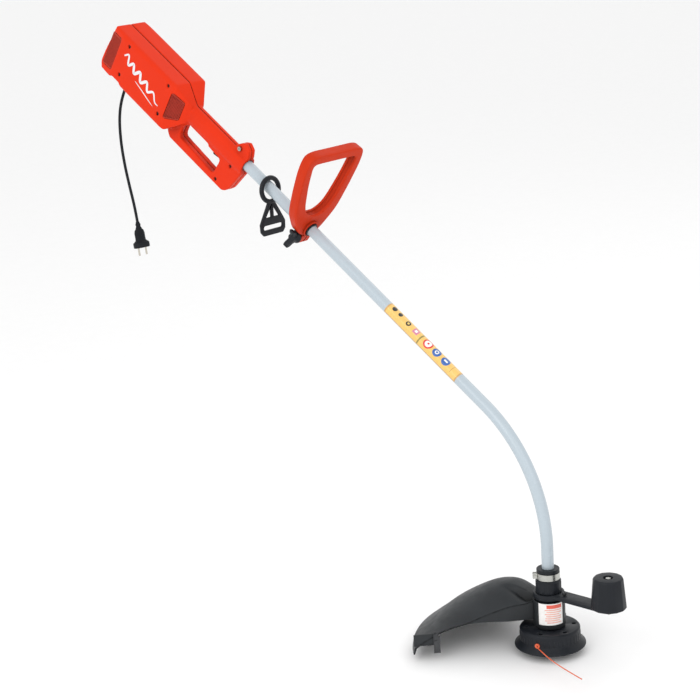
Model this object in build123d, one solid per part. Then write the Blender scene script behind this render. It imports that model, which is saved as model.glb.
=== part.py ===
from build123d import *
import math
import os

# Electric string trimmer with the motor at the top of a curved shaft.
# Frame: +X runs forward from the operator to the cutting head, +Y to the far side, +Z up.
# The origin is the middle of the rear grip, on the shaft's centre line. Lengths in millimetres.

# ---------------------------------------------------------------- driving dimensions
SHAFT_TILT = 34.6          # slope of the straight shaft below the horizontal, degrees
SHAFT_REACH = 945.0        # from the grip's middle to the start of the bend
BEND_RADIUS = 353.0
NECK_RUN = 100.0           # straight tube below the bend
TUBE_R = 13.0
TUBE_WALL = 1.5
TUBE_START = 70.0          # upper end of the tube, measured forward from the grip's middle
LINER_R = 5.0
LINER_WALL = 1.5
CABLE_R = 3.1
SPACER_LENGTH = 14.0

HOUSING_HALF_WIDTH = 50.0
HOUSING_TOP = 52.0
HOUSING_BOTTOM = -71.0
HOUSING_REAR = -357.0
HOUSING_FRONT = -113.0
HOUSING_EDGE_R = 9.0
NOSE_END = -64.0
WALL = 3.0
GRIP_WIDTH = 38.0
GRIP_TOP = 20.0
GRIP_BOTTOM = -27.0
LOOP_WIDTH = 28.0
LOOP_DEPTH = -97.0
BLOCK_FRONT = 132.0

BEARING_R = 11.0
BEARING_WIDTH = 7.0
MOTOR_SHAFT_R = 4.0
STATOR_R = 42.0
STATOR_BORE_R = 21.5
STATOR_LENGTH = 54.0
AIR_GAP = 0.6
STATOR_X = -225.0
FAN_R = 38.0
REAR_BEARING_X = -306.0
FRONT_BEARING_X = -154.0
TRIGGER_PIVOT = (56.0, -27.0)
SCREW_R = 2.0
SCREW_HEAD_R = 3.8
SCREW_RECESS = 7.0

HANDLE_X = 344.0           # front handle clamp, forward from the grip's middle
HANDLE_HALF_WIDTH = 87.0
HANDLE_HEIGHT = 206.0
HANDLE_DEPTH = 25.0
HANDLE_LEAN = 4.3
BOLT_Z = -30.0
BUSH_WALL = 2.5
BUSH_LENGTH = 40.0
FIT = 0.08                 # radial play of a running fit
CLEARANCE = 0.4            # room between parts that move past each other

HANGER_X = 213.0
HANGER_RING_R = 27.0
HANGER_BAR_R = 5.5
HANGER_WIDTH = 78.0
HANGER_THICKNESS = 7.0

COLLAR_TOP = 152.0         # heights in the head are measured from the plane of the cutting line
COLLAR_R = 24.5
NECK_R = 27.0
SLEEVE_R = 29.0
BOSS_R = 34.0
BOSS_BOTTOM = 24.5
BOSS_TOP = 84.0
SPINDLE_R = 5.0
SPINDLE_THREAD_R = 3.0
HEAD_BEARING_R = 13.0
HEAD_BEARING_WIDTH = 8.0
CUP_R = 64.3
CUP_TOP = 22.0
CUP_WALL = 2.8
FLANGE_R = 75.9
FLANGE_BOTTOM = -18.7
SPOOL_R = 48.0
SPOOL_CORE_R = 21.0
BUTTON_R = 26.0
BUTTON_TRAVEL = 6.0
LINE_R = 1.2
EYELET_ANGLE = -77.0
EYELET_R = 4.0

GUARD_RIM_R = 291.0
GUARD_START = 143.0        # angles about the head axis, degrees from +X
GUARD_END = 228.0
GUARD_WALL = 3.0
GUARD_RIM_BOTTOM = -18.0
CUTTER_R = 236.0
GUARD_SCREW_ANGLES = (60, 120)

ARM_HALF_WIDTH = 20.0
ARM_TOP = 99.0
ARM_THICKNESS = 7.0
ROLLER_X = 155.0
ARM_SCREW_X = 42.0
ROLLER_BOTTOM_R = 37.0
ROLLER_TOP_R = 31.5
ROLLER_HEIGHT = 66.0
ROLLER_AXLE_R = 6.0

CORD_R = 3.5
GLAND_R = 6.0
PLUG_YAW = -17.0
PLUG_TILT = 8.4
PIN_R = 2.4
PIN_LENGTH = 19.0
PIN_SPACING = 19.0

TILT = math.radians(SHAFT_TILT)
BEND_TURN = 90.0 - SHAFT_TILT
HEAD_X = SHAFT_REACH * math.cos(TILT) + BEND_RADIUS * (1 - math.sin(TILT))
BEND_END_Z = -SHAFT_REACH * math.sin(TILT) - BEND_RADIUS * math.cos(TILT)
TUBE_END = 95.0            # height of the tube's lower end above the line plane
HEAD_Z = BEND_END_Z - NECK_RUN - TUBE_END

NODES = {}


# ---------------------------------------------------------------- helpers
def along_shaft(shape):
    """Turn a shape drawn with the shaft along +X into its place."""
    return Rot(0, SHAFT_TILT, 0) * shape


def at_head(shape):
    """Move a shape drawn round the head axis into its place."""
    return Pos(HEAD_X, 0, HEAD_Z) * shape


def rod_x(radius, start, end, y=0.0, z=0.0):
    return Pos((start + end) / 2, y, z) * Rot(0, 90, 0) * Cylinder(radius, end - start)


def rod_y(radius, start, end, x, z):
    return Pos(x, (start + end) / 2, z) * Rot(90, 0, 0) * Cylinder(radius, end - start)


def rod_z(radius, bottom, top, x=0.0, y=0.0):
    return Pos(x, y, (bottom + top) / 2) * Cylinder(radius, top - bottom)


def block(x0, x1, y0, y1, z0, z1):
    return Pos((x0 + x1) / 2, (y0 + y1) / 2, (z0 + z1) / 2) * Box(x1 - x0, y1 - y0, z1 - z0)


def side_plate(points, half_width, corner=0.0):
    """Extrude an outline given in X and Z to both sides of the Y = 0 plane."""
    face = make_face(Polyline(*[(x, z) for x, z in points], close=True))
    if corner:
        face = fillet(face.vertices(), corner)
    return extrude(Plane.XZ * face, half_width, both=True)


def turned(profile):
    """Revolve a closed outline of radius and height about the Z axis."""
    face = make_face(Polyline(*profile, close=True))
    return revolve(Plane.XZ * face, Axis.Z)


def keep(name, shape, place=along_shaft):
    """Put a shape in its place and file it under its node name."""
    placed = place(shape)
    solids = placed.solids()
    NODES[name] = solids[0] if len(solids) == 1 else Compound(children=list(solids))


# ---------------------------------------------------------------- housing
def inset(points, amount, radii=None):
    """Offset an outline inwards and round the corners that radii names by their number."""
    face = make_face(Polyline(*points, close=True))
    if amount:
        face = offset(face, amount=-amount, kind=Kind.INTERSECTION)
    for number, radius in (radii or {}).items():
        corner = Vector(*points[number])
        if radius > amount:
            nearest = face.vertices().sort_by_distance(corner)[0]
            face = fillet([nearest], radius - amount)
    return face


NOTCH_Z = HOUSING_BOTTOM + 8
MOTOR_SIDE = [(HOUSING_REAR + 14, HOUSING_TOP), (HOUSING_FRONT, HOUSING_TOP), (NOSE_END, GRIP_TOP - 2),
              (NOSE_END, GRIP_BOTTOM), (-102, HOUSING_BOTTOM), (-266, HOUSING_BOTTOM), (-274, NOTCH_Z),
              (-304, NOTCH_Z), (-308, HOUSING_BOTTOM), (HOUSING_REAR + 12, HOUSING_BOTTOM),
              (HOUSING_REAR, HOUSING_BOTTOM + 16)]
REAR_HALF_WIDTH = 42.0
REAR_CHEEK_X = -305.0
MOTOR_PLAN = [(HOUSING_REAR, -REAR_HALF_WIDTH), (REAR_CHEEK_X, -HOUSING_HALF_WIDTH),
              (HOUSING_FRONT, -HOUSING_HALF_WIDTH), (NOSE_END, -GRIP_WIDTH / 2),
              (NOSE_END, GRIP_WIDTH / 2), (HOUSING_FRONT, HOUSING_HALF_WIDTH),
              (REAR_CHEEK_X, HOUSING_HALF_WIDTH), (HOUSING_REAR, REAR_HALF_WIDTH)]
LOOP_OUTER = [(-121, HOUSING_BOTTOM + 10), (-113, LOOP_DEPTH + 12), (-99, LOOP_DEPTH), (98, LOOP_DEPTH),
              (108, LOOP_DEPTH + 6), (116, LOOP_DEPTH + 18), (BLOCK_FRONT - 2, -30), (BLOCK_FRONT, -13),
              (BLOCK_FRONT, 0), (-100, 0)]
LOOP_HOLE = [(-74, -73), (-74, -44), (-60, -28), (18, -28), (30, -34), (62, -35), (58, -79)]
MOTOR_PLAN_RADII = {0: 9.0, 1: 30.0, 2: 14.0, 5: 14.0, 6: 30.0, 7: 9.0}
LOOP_OUTER_RADII = {1: 8.0, 2: 8.0, 3: 8.0, 4: 8.0, 5: 8.0}
LOOP_HOLE_RADII = {0: 9.0, 1: 8.0, 2: 8.0, 5: 7.0, 6: 9.0}
EAR = [(80, 12), (84, 26), (98, 41), (110, 48), (126, 40), (BLOCK_FRONT, 24), (BLOCK_FRONT, 8)]
HOUSING_SCREWS = [(-280.4, 37.7), (-130.1, 37.7), (-280.4, -43.2), (-130.1, -43.2)]
BLOCK_SCREWS = [(96, -28), (71, -86)]
CLAMP_BOLT = (101.0, 28.0)
GLAND_X = -289.0
GRILLE_WALL = 2.0


def motor_case(amount=0.0):
    """The motor end of the housing, or its inside when an amount is taken off."""
    side = extrude(Plane.XZ * inset(MOTOR_SIDE, amount), HOUSING_HALF_WIDTH, both=True)
    plan = extrude(Plane.XY * inset(MOTOR_PLAN, amount, MOTOR_PLAN_RADII), 2 * abs(HOUSING_BOTTOM), both=True)
    section = RectangleRounded(2 * (HOUSING_HALF_WIDTH - amount), HOUSING_TOP - HOUSING_BOTTOM - 2 * amount,
                               HOUSING_EDGE_R - amount)
    end = Plane((HOUSING_REAR, 0, (HOUSING_TOP + HOUSING_BOTTOM) / 2), x_dir=(0, 1, 0), z_dir=(1, 0, 0))
    return side & plan & extrude(end * section, NOSE_END - HOUSING_REAR)


def grip_bar(amount=0.0, start=NOSE_END - 22, end=BLOCK_FRONT):
    height = GRIP_TOP - GRIP_BOTTOM
    section = RectangleRounded(GRIP_WIDTH - 2 * amount, height - 2 * amount, 16 - amount)
    middle = (GRIP_TOP + GRIP_BOTTOM) / 2
    return extrude(Plane((start, 0, middle), x_dir=(0, 1, 0), z_dir=(1, 0, 0)) * section, end - start)


def loop_guard():
    outer = extrude(Plane.XZ * inset(LOOP_OUTER, 0.0, LOOP_OUTER_RADII), LOOP_WIDTH / 2, both=True)
    return outer - extrude(Plane.XZ * inset(LOOP_HOLE, 0.0, LOOP_HOLE_RADII), LOOP_WIDTH, both=True)


def loop_inside():
    outer = extrude(Plane.XZ * inset(LOOP_OUTER, WALL), LOOP_WIDTH / 2 - WALL, both=True)
    hole = extrude(Plane.XZ * inset(LOOP_HOLE, -WALL), LOOP_WIDTH, both=True)
    return outer - hole - block(62, BLOCK_FRONT, -LOOP_WIDTH, LOOP_WIDTH, -24, 10)


def outer_form():
    case = motor_case()
    ear = side_plate(EAR, 11)
    step = block(14, 68, -13, 13, -34, -20)
    return case + grip_bar() + loop_guard() + ear + step


def motor_ribs():
    """Walls across the housing that carry the bearings and the stator."""
    inside = motor_case(WALL - 0.1)
    ribs = None
    for centre, bore in ((REAR_BEARING_X, BEARING_R), (FRONT_BEARING_X, BEARING_R),
                         (STATOR_X - 16, STATOR_R), (STATOR_X + 16, STATOR_R)):
        plate = block(centre - 2.5, centre + 2.5, -60, 60, -80, 60) & inside
        plate = plate - rod_x(bore, centre - 4, centre + 4)
        ribs = plate if ribs is None else ribs + plate
    return ribs


def screw_columns():
    columns = []
    for x, z in HOUSING_SCREWS:
        columns.append(rod_y(5.5, -HOUSING_HALF_WIDTH + 2, HOUSING_HALF_WIDTH - 2, x, z))
    for x, z in BLOCK_SCREWS:
        columns.append(rod_y(5.5, -LOOP_WIDTH / 2 + 1, LOOP_WIDTH / 2 - 1, x, z))
    return columns


def screw_holes():
    """Clearance and counterbore of every housing screw, entered from the near side."""
    holes = []
    for points, half in ((HOUSING_SCREWS, HOUSING_HALF_WIDTH), (BLOCK_SCREWS, LOOP_WIDTH / 2)):
        for x, z in points:
            holes.append(rod_y(SCREW_R, -half - 1, half - 5, x, z))
            holes.append(rod_y(SCREW_HEAD_R + 0.4, -half - 1, -half + SCREW_RECESS, x, z))
    return holes


def grille_plane(front):
    """Plane on the near cheek where a vent sits: x along the cheek, z outwards."""
    if front:
        start, end = (HOUSING_FRONT, -HOUSING_HALF_WIDTH), (NOSE_END, -GRIP_WIDTH / 2)
    else:
        start, end = (HOUSING_REAR, -REAR_HALF_WIDTH), (REAR_CHEEK_X, -HOUSING_HALF_WIDTH)
    run = (end[0] - start[0], end[1] - start[1])
    return Plane((start[0], start[1], 0), x_dir=(run[0], run[1], 0), z_dir=(run[1], -run[0], 0))


def grille_outline(front):
    if front:
        points = [(3, -41), (3, 31), (38, 20), (38, -29)]
    else:
        points = [(11, -56), (11, 33), (46, 36), (46, -51)]
    return fillet(make_face(Polyline(*points, close=True)).vertices(), 3)


def grille(front, amount=0.0, depth=GRILLE_WALL):
    """One vent insert, or the window for it with some room round it."""
    face = grille_outline(front)
    if amount:
        face = offset(face, amount=amount)
    plate = extrude(grille_plane(front) * face, -depth)
    return plate


def both_sides(shape):
    return [shape, mirror(shape, about=Plane.XZ)]


def vent_slots(front):
    slots = []
    for step in range(6):
        x = 8 + step * 5.2 if front else 16 + step * 5.2
        bar = Box(2.2, 38 if front else 72, 10)
        slots.append(grille_plane(front) * Pos(x, -6 if front else -10, 0) * bar)
    return slots


def make_housing():
    shell = outer_form() - motor_case(WALL) - grip_bar(WALL, NOSE_END - 18, 62) - loop_inside()
    for column in screw_columns():
        shell = shell + column
    shell = shell + motor_ribs() + rod_x(TUBE_R + 4, 62, BLOCK_FRONT - 1)
    for hole in screw_holes():
        shell = shell - hole
    shell = shell - rod_x(TUBE_R, TUBE_START, BLOCK_FRONT + 5) - rod_x(LINER_R, -200, TUBE_START + 1)
    shell = shell - rod_x(STATOR_R, STATOR_X - 18.6, STATOR_X + 18.6) - rod_x(9, -306, -110)
    shell = shell - rod_y(3, -20, 20, *CLAMP_BOLT)
    shell = shell - block(28, 62, -6, 6, -40, -20)
    shell = shell - rod_z(GLAND_R, NOTCH_Z - 5, NOTCH_Z + 10, GLAND_X, 0)
    for front in (True, False):
        for window in both_sides(grille(front, 0.0, WALL + 6)):
            shell = shell - window
    near = shell & block(-500, 300, -100, 0, -200, 200)
    far = shell & block(-500, 300, 0, 100, -200, 200)
    keep("housing_near", near.solids().sort_by(SortBy.VOLUME)[-1])
    keep("housing_far", far.solids().sort_by(SortBy.VOLUME)[-1])


def make_vents():
    for front, name in ((True, "front_vents"), (False, "rear_vents")):
        plate = grille(front)
        for slot in vent_slots(front):
            plate = plate - slot
        keep(name, Compound(children=both_sides(plate.solids()[0])))


def screw(x, z, half, length):
    seat = SCREW_RECESS - half
    head = rod_y(SCREW_HEAD_R, seat - 3, seat, x, z)
    return head + rod_y(SCREW_R, seat - 1, length - half, x, z) - rod_y(1.6, seat - 4, seat - 1.4, x, z)


def make_housing_screws():
    screws = [screw(x, z, HOUSING_HALF_WIDTH, 70).solids()[0] for x, z in HOUSING_SCREWS]
    screws += [screw(x, z, LOOP_WIDTH / 2, 20).solids()[0] for x, z in BLOCK_SCREWS]
    keep("housing_screws", Compound(children=screws))
    x, z = CLAMP_BOLT
    keep("clamp_bolt", rod_y(3, -11, 17, x, z) + rod_y(5, -15, -11, x, z) - rod_y(2.5, -16, -12.5, x, z))
    hexagon = extrude(Plane((x, 11, z), x_dir=(1, 0, 0), z_dir=(0, 1, 0)) * RegularPolygon(5.5, 6), 5)
    keep("clamp_nut", hexagon - rod_y(3, 10, 17, x, z))


# ---------------------------------------------------------------- motor
def bearing(outer, inner, width):
    return Cylinder(outer, width) - Cylinder(inner, width)


def make_motor():
    stator = rod_x(STATOR_R, STATOR_X - STATOR_LENGTH / 2, STATOR_X + STATOR_LENGTH / 2)
    stator = stator - rod_x(STATOR_BORE_R, STATOR_X - 40, STATOR_X + 40)
    for side in (-1, 1):
        low, high = sorted((side * 24, side * 33))
        stator = stator - block(STATOR_X - 40, STATOR_X + 40, -19, 19, low, high)
    keep("stator_core", stator)
    coils = []
    for side in (-1, 1):
        low, high = sorted((side * 24.2, side * 32.8))
        coils.append(block(STATOR_X - 36, STATOR_X + 36, -18.8, 18.8, low, high))
    keep("field_coils", Compound(children=coils))
    core_r = STATOR_BORE_R - AIR_GAP
    armature = rod_x(core_r, STATOR_X - STATOR_LENGTH / 2, STATOR_X + STATOR_LENGTH / 2)
    for index in range(12):
        slot = block(STATOR_X - 40, STATOR_X + 40, -1.2, 1.2, core_r - 8, core_r + 2)
        armature = armature - Rot(index * 30, 0, 0) * slot
    keep("armature_core", armature - rod_x(MOTOR_SHAFT_R, -400, 0))
    windings = rod_x(17, STATOR_X - 40, STATOR_X - 27) + rod_x(17, STATOR_X + 27, STATOR_X + 40)
    windings = windings - rod_x(MOTOR_SHAFT_R, -400, 0)
    keep("armature_windings", Compound(children=list(windings.solids())))
    commutator = rod_x(12, STATOR_X - 62, STATOR_X - 42)
    for index in range(12):
        commutator = commutator - Rot(index * 30, 0, 0) * block(-300, -100, -0.4, 0.4, 10.5, 14)
    keep("commutator", commutator - rod_x(MOTOR_SHAFT_R, -400, 0))
    keep("motor_shaft", rod_x(MOTOR_SHAFT_R, -316, -136))
    keep("motor_bearings", Compound(children=[
        Pos(x, 0, 0) * Rot(0, 90, 0) * bearing(BEARING_R, MOTOR_SHAFT_R, BEARING_WIDTH)
        for x in (REAR_BEARING_X, FRONT_BEARING_X)]))
    make_fan()
    make_brushes()
    coupling = rod_x(7.5, -148, -112) - rod_x(MOTOR_SHAFT_R, -149, -136) - rod_x(CABLE_R, -136, -100)
    keep("cable_coupling", coupling)


def make_fan():
    fan_x = -176.0
    fan = rod_x(9, fan_x - 9, fan_x + 9) + rod_x(FAN_R, fan_x + 6, fan_x + 9)
    for index in range(14):
        blade = block(fan_x - 9, fan_x + 7, -1, 1, 8, FAN_R - 1)
        fan = fan + Rot(index * 360 / 14, 0, 0) * Pos(0, 3, 0) * blade
    keep("cooling_fan", fan - rod_x(MOTOR_SHAFT_R, -400, 0))


def make_brushes():
    brush_x = STATOR_X - 52
    holders, brushes, springs = [], [], []
    for side in (-1, 1):
        low, high = sorted((side * 14.0, side * 40.0))
        tube = block(brush_x - 6, brush_x + 6, low, high, -7, 7)
        tube = tube - block(brush_x - 4, brush_x + 4, low - 1, high + 1, -5, 5)
        holders.append(tube)
        inner, outer = sorted((side * 12.3, side * 26.0))
        brushes.append(block(brush_x - 3.9, brush_x + 3.9, inner, outer, -4.9, 4.9))
        start, end = sorted((side * 26.0, side * 39.0))
        springs.append(rod_y(3.4, start, end, brush_x, 0) - rod_y(2.4, start, end, brush_x, 0))
    keep("brush_holders", Compound(children=holders))
    keep("carbon_brushes", Compound(children=brushes))
    keep("brush_springs", Compound(children=springs))


# ---------------------------------------------------------------- trigger and switch
def make_trigger():
    profile = [(29.5, -39), (33, -40.5), (57, -37), (60.5, -33), (60.5, -24), (52, -24.5), (31, -30)]
    trigger = side_plate(profile, 5.2) - rod_y(1.55, -10, 10, *TRIGGER_PIVOT)
    keep("trigger", trigger)
    keep("trigger_pin", rod_y(1.5, -9, 9, *TRIGGER_PIVOT))
    keep("switch_body", block(26, 55, -9, 9, -21.5, -7) - rod_x(LINER_R + 0.5, 20, 60))
    spring = rod_z(2.6, -27.3, -21.6, 36) - rod_z(2.0, -30, -20, 36)
    keep("trigger_spring", spring)


# ---------------------------------------------------------------- shaft
def shaft_path(start, end_height):
    """Centre line of the shaft from a place on the straight to a height above the line plane."""
    first = along_shaft(Vertex(start, 0, 0)).center()
    bend = along_shaft(Vertex(SHAFT_REACH, 0, 0)).center()
    below = Vector(HEAD_X, 0, BEND_END_Z)
    middle = math.radians(BEND_TURN / 2)
    crown = Vector(HEAD_X - BEND_RADIUS * (1 - math.cos(middle)), 0, BEND_END_Z + BEND_RADIUS * math.sin(middle))
    last = Vector(HEAD_X, 0, HEAD_Z + end_height)
    return Wire([Line(first, bend).edge(), ThreePointArc(bend, crown, below).edge(), Line(below, last).edge()])


def bent_rod(radius, start, end_height):
    path = shaft_path(start, end_height)
    section = Plane(path @ 0, z_dir=path % 0) * Circle(radius)
    return sweep(section, path)


def unplaced(shape):
    return shape


def make_shaft():
    tube = bent_rod(TUBE_R, TUBE_START, TUBE_END) - bent_rod(TUBE_R - TUBE_WALL, TUBE_START, TUBE_END)
    keep("shaft_tube", tube, unplaced)
    cable_end = 70.0
    liner_end = 88.0
    liner = bent_rod(LINER_R, -106, liner_end) - bent_rod(LINER_R - LINER_WALL, -106, liner_end)
    keep("cable_liner", liner, unplaced)
    keep("drive_cable", bent_rod(CABLE_R, -134, cable_end), unplaced)
    spacers = []
    for place in (110, 300, 490, 680, 870):
        ring = rod_x(TUBE_R - TUBE_WALL, place, place + SPACER_LENGTH) - rod_x(LINER_R, place - 1, place + 20)
        spacers.append(along_shaft(ring).solids()[0])
    keep("liner_spacers", Compound(children=spacers), unplaced)


# ---------------------------------------------------------------- front handle
def handle_outline():
    """Outer edge of the handle frame across (X) and up (Y) from the shaft axis."""
    half = [(0, -20), (26, -14), (48, 14), (66, 42), (80, 105), (HANDLE_HALF_WIDTH + 1, 160),
            (HANDLE_HALF_WIDTH - 3, HANDLE_HEIGHT - 6), (HANDLE_HALF_WIDTH - 14, HANDLE_HEIGHT)]
    other = [(-x, y) for x, y in reversed(half) if x > 0]
    return make_face(Polyline(*half, *other, close=True))


def handle_opening():
    half = [(20, 34), (42, 66), (57, 110), (65, 160), (66, 184)]
    other = [(-x, y) for x, y in reversed(half)]
    face = make_face(Polyline(*half, *other, close=True))
    return fillet(face.vertices().sort_by(Axis.Y)[-2:], 9)


def make_handle():
    bush_r = TUBE_R + FIT + BUSH_WALL
    plane = Plane((0, 0, 0), x_dir=(0, 1, 0), z_dir=(1, 0, 0))
    half_depth = HANDLE_DEPTH / 2
    frame = extrude(plane * handle_outline(), half_depth, both=True)
    frame = frame - extrude(plane * handle_opening(), HANDLE_DEPTH, both=True)
    rims = frame.edges().filter_by(lambda e: abs(abs(e.center().X) - half_depth) < 0.01)
    frame = chamfer(rims, 3.5)
    frame = Pos(HANDLE_X, 0, 0) * Rot(0, -HANDLE_LEAN, 0) * frame
    clamp = rod_x(bush_r + 5, HANDLE_X - 17, HANDLE_X + 17)
    ears = side_plate([(HANDLE_X - 13, -10), (HANDLE_X + 15, -10), (HANDLE_X + 10, -44), (HANDLE_X, -47),
                       (HANDLE_X - 9, -40)], 15)
    handle = frame + clamp + ears
    handle = handle - rod_x(bush_r + FIT, HANDLE_X - 40, HANDLE_X + 40)
    handle = handle - block(HANDLE_X - 40, HANDLE_X + 40, -1.5, 1.5, -60, -5)
    handle = handle - rod_y(3.1, -20, 20, HANDLE_X, BOLT_Z)
    handle = handle - rod_y(6.0, 11, 20, HANDLE_X, BOLT_Z)
    keep("front_handle", handle)
    bush = rod_x(bush_r, HANDLE_X - BUSH_LENGTH / 2, HANDLE_X + BUSH_LENGTH / 2)
    bush = bush - rod_x(TUBE_R + FIT, HANDLE_X - 30, HANDLE_X + 30)
    keep("handle_bush", bush)
    bolt = rod_y(3, -24, 11, HANDLE_X, BOLT_Z) + rod_y(5.8, 11, 14.5, HANDLE_X, BOLT_Z)
    keep("handle_bolt", bolt)
    make_wing_knob()


def make_wing_knob():
    hub = rod_y(9, -28, -15.3, HANDLE_X, BOLT_Z)
    wings = []
    for side in (-1, 1):
        points = [(0, -28), (0, -17), (side * 9, -18), (side * 15, -24), (side * 21, -40), (side * 17, -43),
                  (side * 9, -34), (side * 4, -28)]
        face = make_face(Polyline(*points, close=True))
        plane = Plane((HANDLE_X, 0, BOLT_Z), x_dir=(0, 0, 1), z_dir=(-1, 0, 0))
        wings.append(extrude(plane * face, 3.5, both=True))
    knob = hub + wings[0] + wings[1] - rod_y(3 + FIT, -24.5, -10, HANDLE_X, BOLT_Z)
    keep("wing_knob", knob)


# ---------------------------------------------------------------- strap hanger
def make_hanger():
    """Ring round the shaft with a hanging frame that ends in the strap slot."""
    ring = Torus(HANGER_RING_R, HANGER_BAR_R)
    drop = HANGER_RING_R - HANGER_BAR_R - TUBE_R / math.cos(TILT) - 2.4
    half = HANGER_WIDTH / 2
    top, bar, slot_top, slot_bottom, base = -24.0, -62.0, -80.0, -90.0, -103.0
    frame = make_face(Polyline((-8, top), (8, top), (31, bar), (half, bar - 14), (half - 1, base + 9),
                               (half - 9, base), (9 - half, base), (1 - half, base + 9), (-half, bar - 14),
                               (-31, bar), close=True))
    gap = make_face(Polyline((4, top - 13), (21, bar), (4, bar), close=True))
    slot = Pos(0, (slot_top + slot_bottom) / 2) * SlotOverall(HANGER_WIDTH - 18, slot_top - slot_bottom)
    frame = frame - gap - mirror(gap, about=Plane.YZ) - slot
    plate = extrude(frame, HANGER_THICKNESS / 2, both=True)
    plate = chamfer(plate.faces().filter_by(Axis.Z).edges(), 1.2)
    hanger = ring + plate
    upright = Plane((0, 0, 0), x_dir=(0, 1, 0), z_dir=(1, 0, 0))
    centre = along_shaft(Vertex(HANGER_X, 0, 0)).center()
    placed = Pos(centre.X, centre.Y, centre.Z - drop) * (upright.location * hanger)
    keep("strap_hanger", placed, unplaced)


# ---------------------------------------------------------------- cutting head
def make_head_case():
    profile = [(TUBE_R, COLLAR_TOP), (COLLAR_R, COLLAR_TOP), (COLLAR_R, 145), (COLLAR_R - 1, 145),
               (COLLAR_R - 1, 129), (NECK_R, 126), (NECK_R, BOSS_TOP), (SLEEVE_R, BOSS_TOP),
               (SLEEVE_R, BOSS_BOTTOM + 4), (HEAD_BEARING_R + 3, BOSS_BOTTOM + 4), (HEAD_BEARING_R, BOSS_BOTTOM + 4),
               (HEAD_BEARING_R, 44.5), (8, 44.5), (8, 60), (HEAD_BEARING_R, 60), (HEAD_BEARING_R, 68),
               (8, 68), (8, TUBE_END), (TUBE_R, TUBE_END)]
    case = turned(profile)
    keep("head_case", case - block(-1.2, 1.2, 0, 40, 112, 160), at_head)
    band = rod_z(COLLAR_R + 0.6, 130, 143.5) - rod_z(COLLAR_R - 1, 129, 145)
    lug = block(COLLAR_R - 0.5, COLLAR_R + 8, -6, 6, 131, 142.5)
    band = band + Rot(0, 0, -136) * (lug - block(0, 60, -2, 2, 120, 160))
    keep("collar_band", band - Rot(0, 0, -136) * rod_y(1.6, -10, 10, COLLAR_R + 4, 136.8), at_head)
    band_screw = rod_y(1.6, -9, 9, COLLAR_R + 4, 136.8) + rod_y(3.2, 6, 9, COLLAR_R + 4, 136.8)
    keep("band_screw", Rot(0, 0, -136) * band_screw, at_head)
    bearings = []
    for bottom in (60.0, 36.5):
        ring = rod_z(HEAD_BEARING_R, bottom, bottom + HEAD_BEARING_WIDTH) - rod_z(SPINDLE_R, 0, 100)
        bearings.append(ring)
    keep("head_bearings", Compound(children=bearings), at_head)


def crown_height(radius, angle):
    """Height of the guard's top face at a radius and an angle about the head axis."""
    crown = [(SLEEVE_R, 82), (50, 92), (80, 100), (105, 102), (135, 97), (173, 80), (222, 50), (255, 24), (280, 5),
             (GUARD_RIM_R, -5)]
    sink = [(SLEEVE_R, 4), (60, 24), (105, 38), (168, 36), (222, 17), (255, 6), (GUARD_RIM_R, 0)]
    middle = (GUARD_START + GUARD_END) / 2
    share = abs(angle - middle) / ((GUARD_END - GUARD_START) / 2)
    return between(crown, radius) - between(sink, radius) * share ** 2


def between(table, value):
    for (x0, y0), (x1, y1) in zip(table, table[1:]):
        if value <= x1:
            return y0 + (y1 - y0) * (value - x0) / (x1 - x0)
    return table[-1][1]


def guard_section(angle):
    """Closed outline of the guard sheet in the vertical plane at an angle."""
    radii = [30, 50, 80, 105, 135, 173, 222, 255, 280]
    top = [(r, crown_height(r, angle)) for r in radii]
    rim = [(GUARD_RIM_R, crown_height(GUARD_RIM_R, angle) + 1), (GUARD_RIM_R + 3, GUARD_RIM_BOTTOM),
           (GUARD_RIM_R, GUARD_RIM_BOTTOM)]
    under = [(r - 1, z - GUARD_WALL) for r, z in reversed(top)]
    direction = math.radians(angle)
    plane = Plane((0, 0, 0), x_dir=(math.cos(direction), math.sin(direction), 0),
                  z_dir=(math.sin(direction), -math.cos(direction), 0))
    return plane * make_face(Polyline(*top, *rim, *under, close=True))


def guard_cheek(angle, inward):
    """Upright wall along one straight edge of the guard."""
    top = [(r, crown_height(r, angle) - 1) for r in (32, 50, 80, 105, 135, 173, 222, 250)]
    under = [(250, 22), (222, 29), (173, 40), (80, 38), (32, 38)]
    direction = math.radians(angle)
    plane = Plane((0, 0, 0), x_dir=(math.cos(direction), math.sin(direction), 0),
                  z_dir=(math.sin(direction), -math.cos(direction), 0))
    return extrude(plane * make_face(Polyline(*top, *under, close=True)), GUARD_WALL * inward)


def make_guard():
    steps = 6
    angles = [GUARD_START + (GUARD_END - GUARD_START) * i / steps for i in range(steps + 1)]
    sheet = loft([guard_section(a) for a in angles], ruled=True)
    ring = rod_z(BOSS_R, BOSS_BOTTOM, BOSS_TOP) - rod_z(SLEEVE_R, 0, 120)
    guard = sheet + ring + guard_cheek(GUARD_START, -1) + guard_cheek(GUARD_END, 1)
    guard = guard - rod_z(SLEEVE_R, 0, BOSS_TOP) - rod_z(NECK_R, 80, 120)
    for angle in GUARD_SCREW_ANGLES:
        guard = guard - Rot(0, 0, angle) * rod_x(SCREW_R, SLEEVE_R - 1, BOSS_R + 1, 0, 40)
    keep("guard", guard, at_head)
    screws = []
    for angle in GUARD_SCREW_ANGLES:
        body = rod_x(SCREW_R, SLEEVE_R, BOSS_R, 0, 40) + rod_x(SCREW_HEAD_R, BOSS_R, BOSS_R + 2.6, 0, 40)
        screws.append((Rot(0, 0, angle) * body).solids()[0])
    make_cutter(screws)


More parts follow.
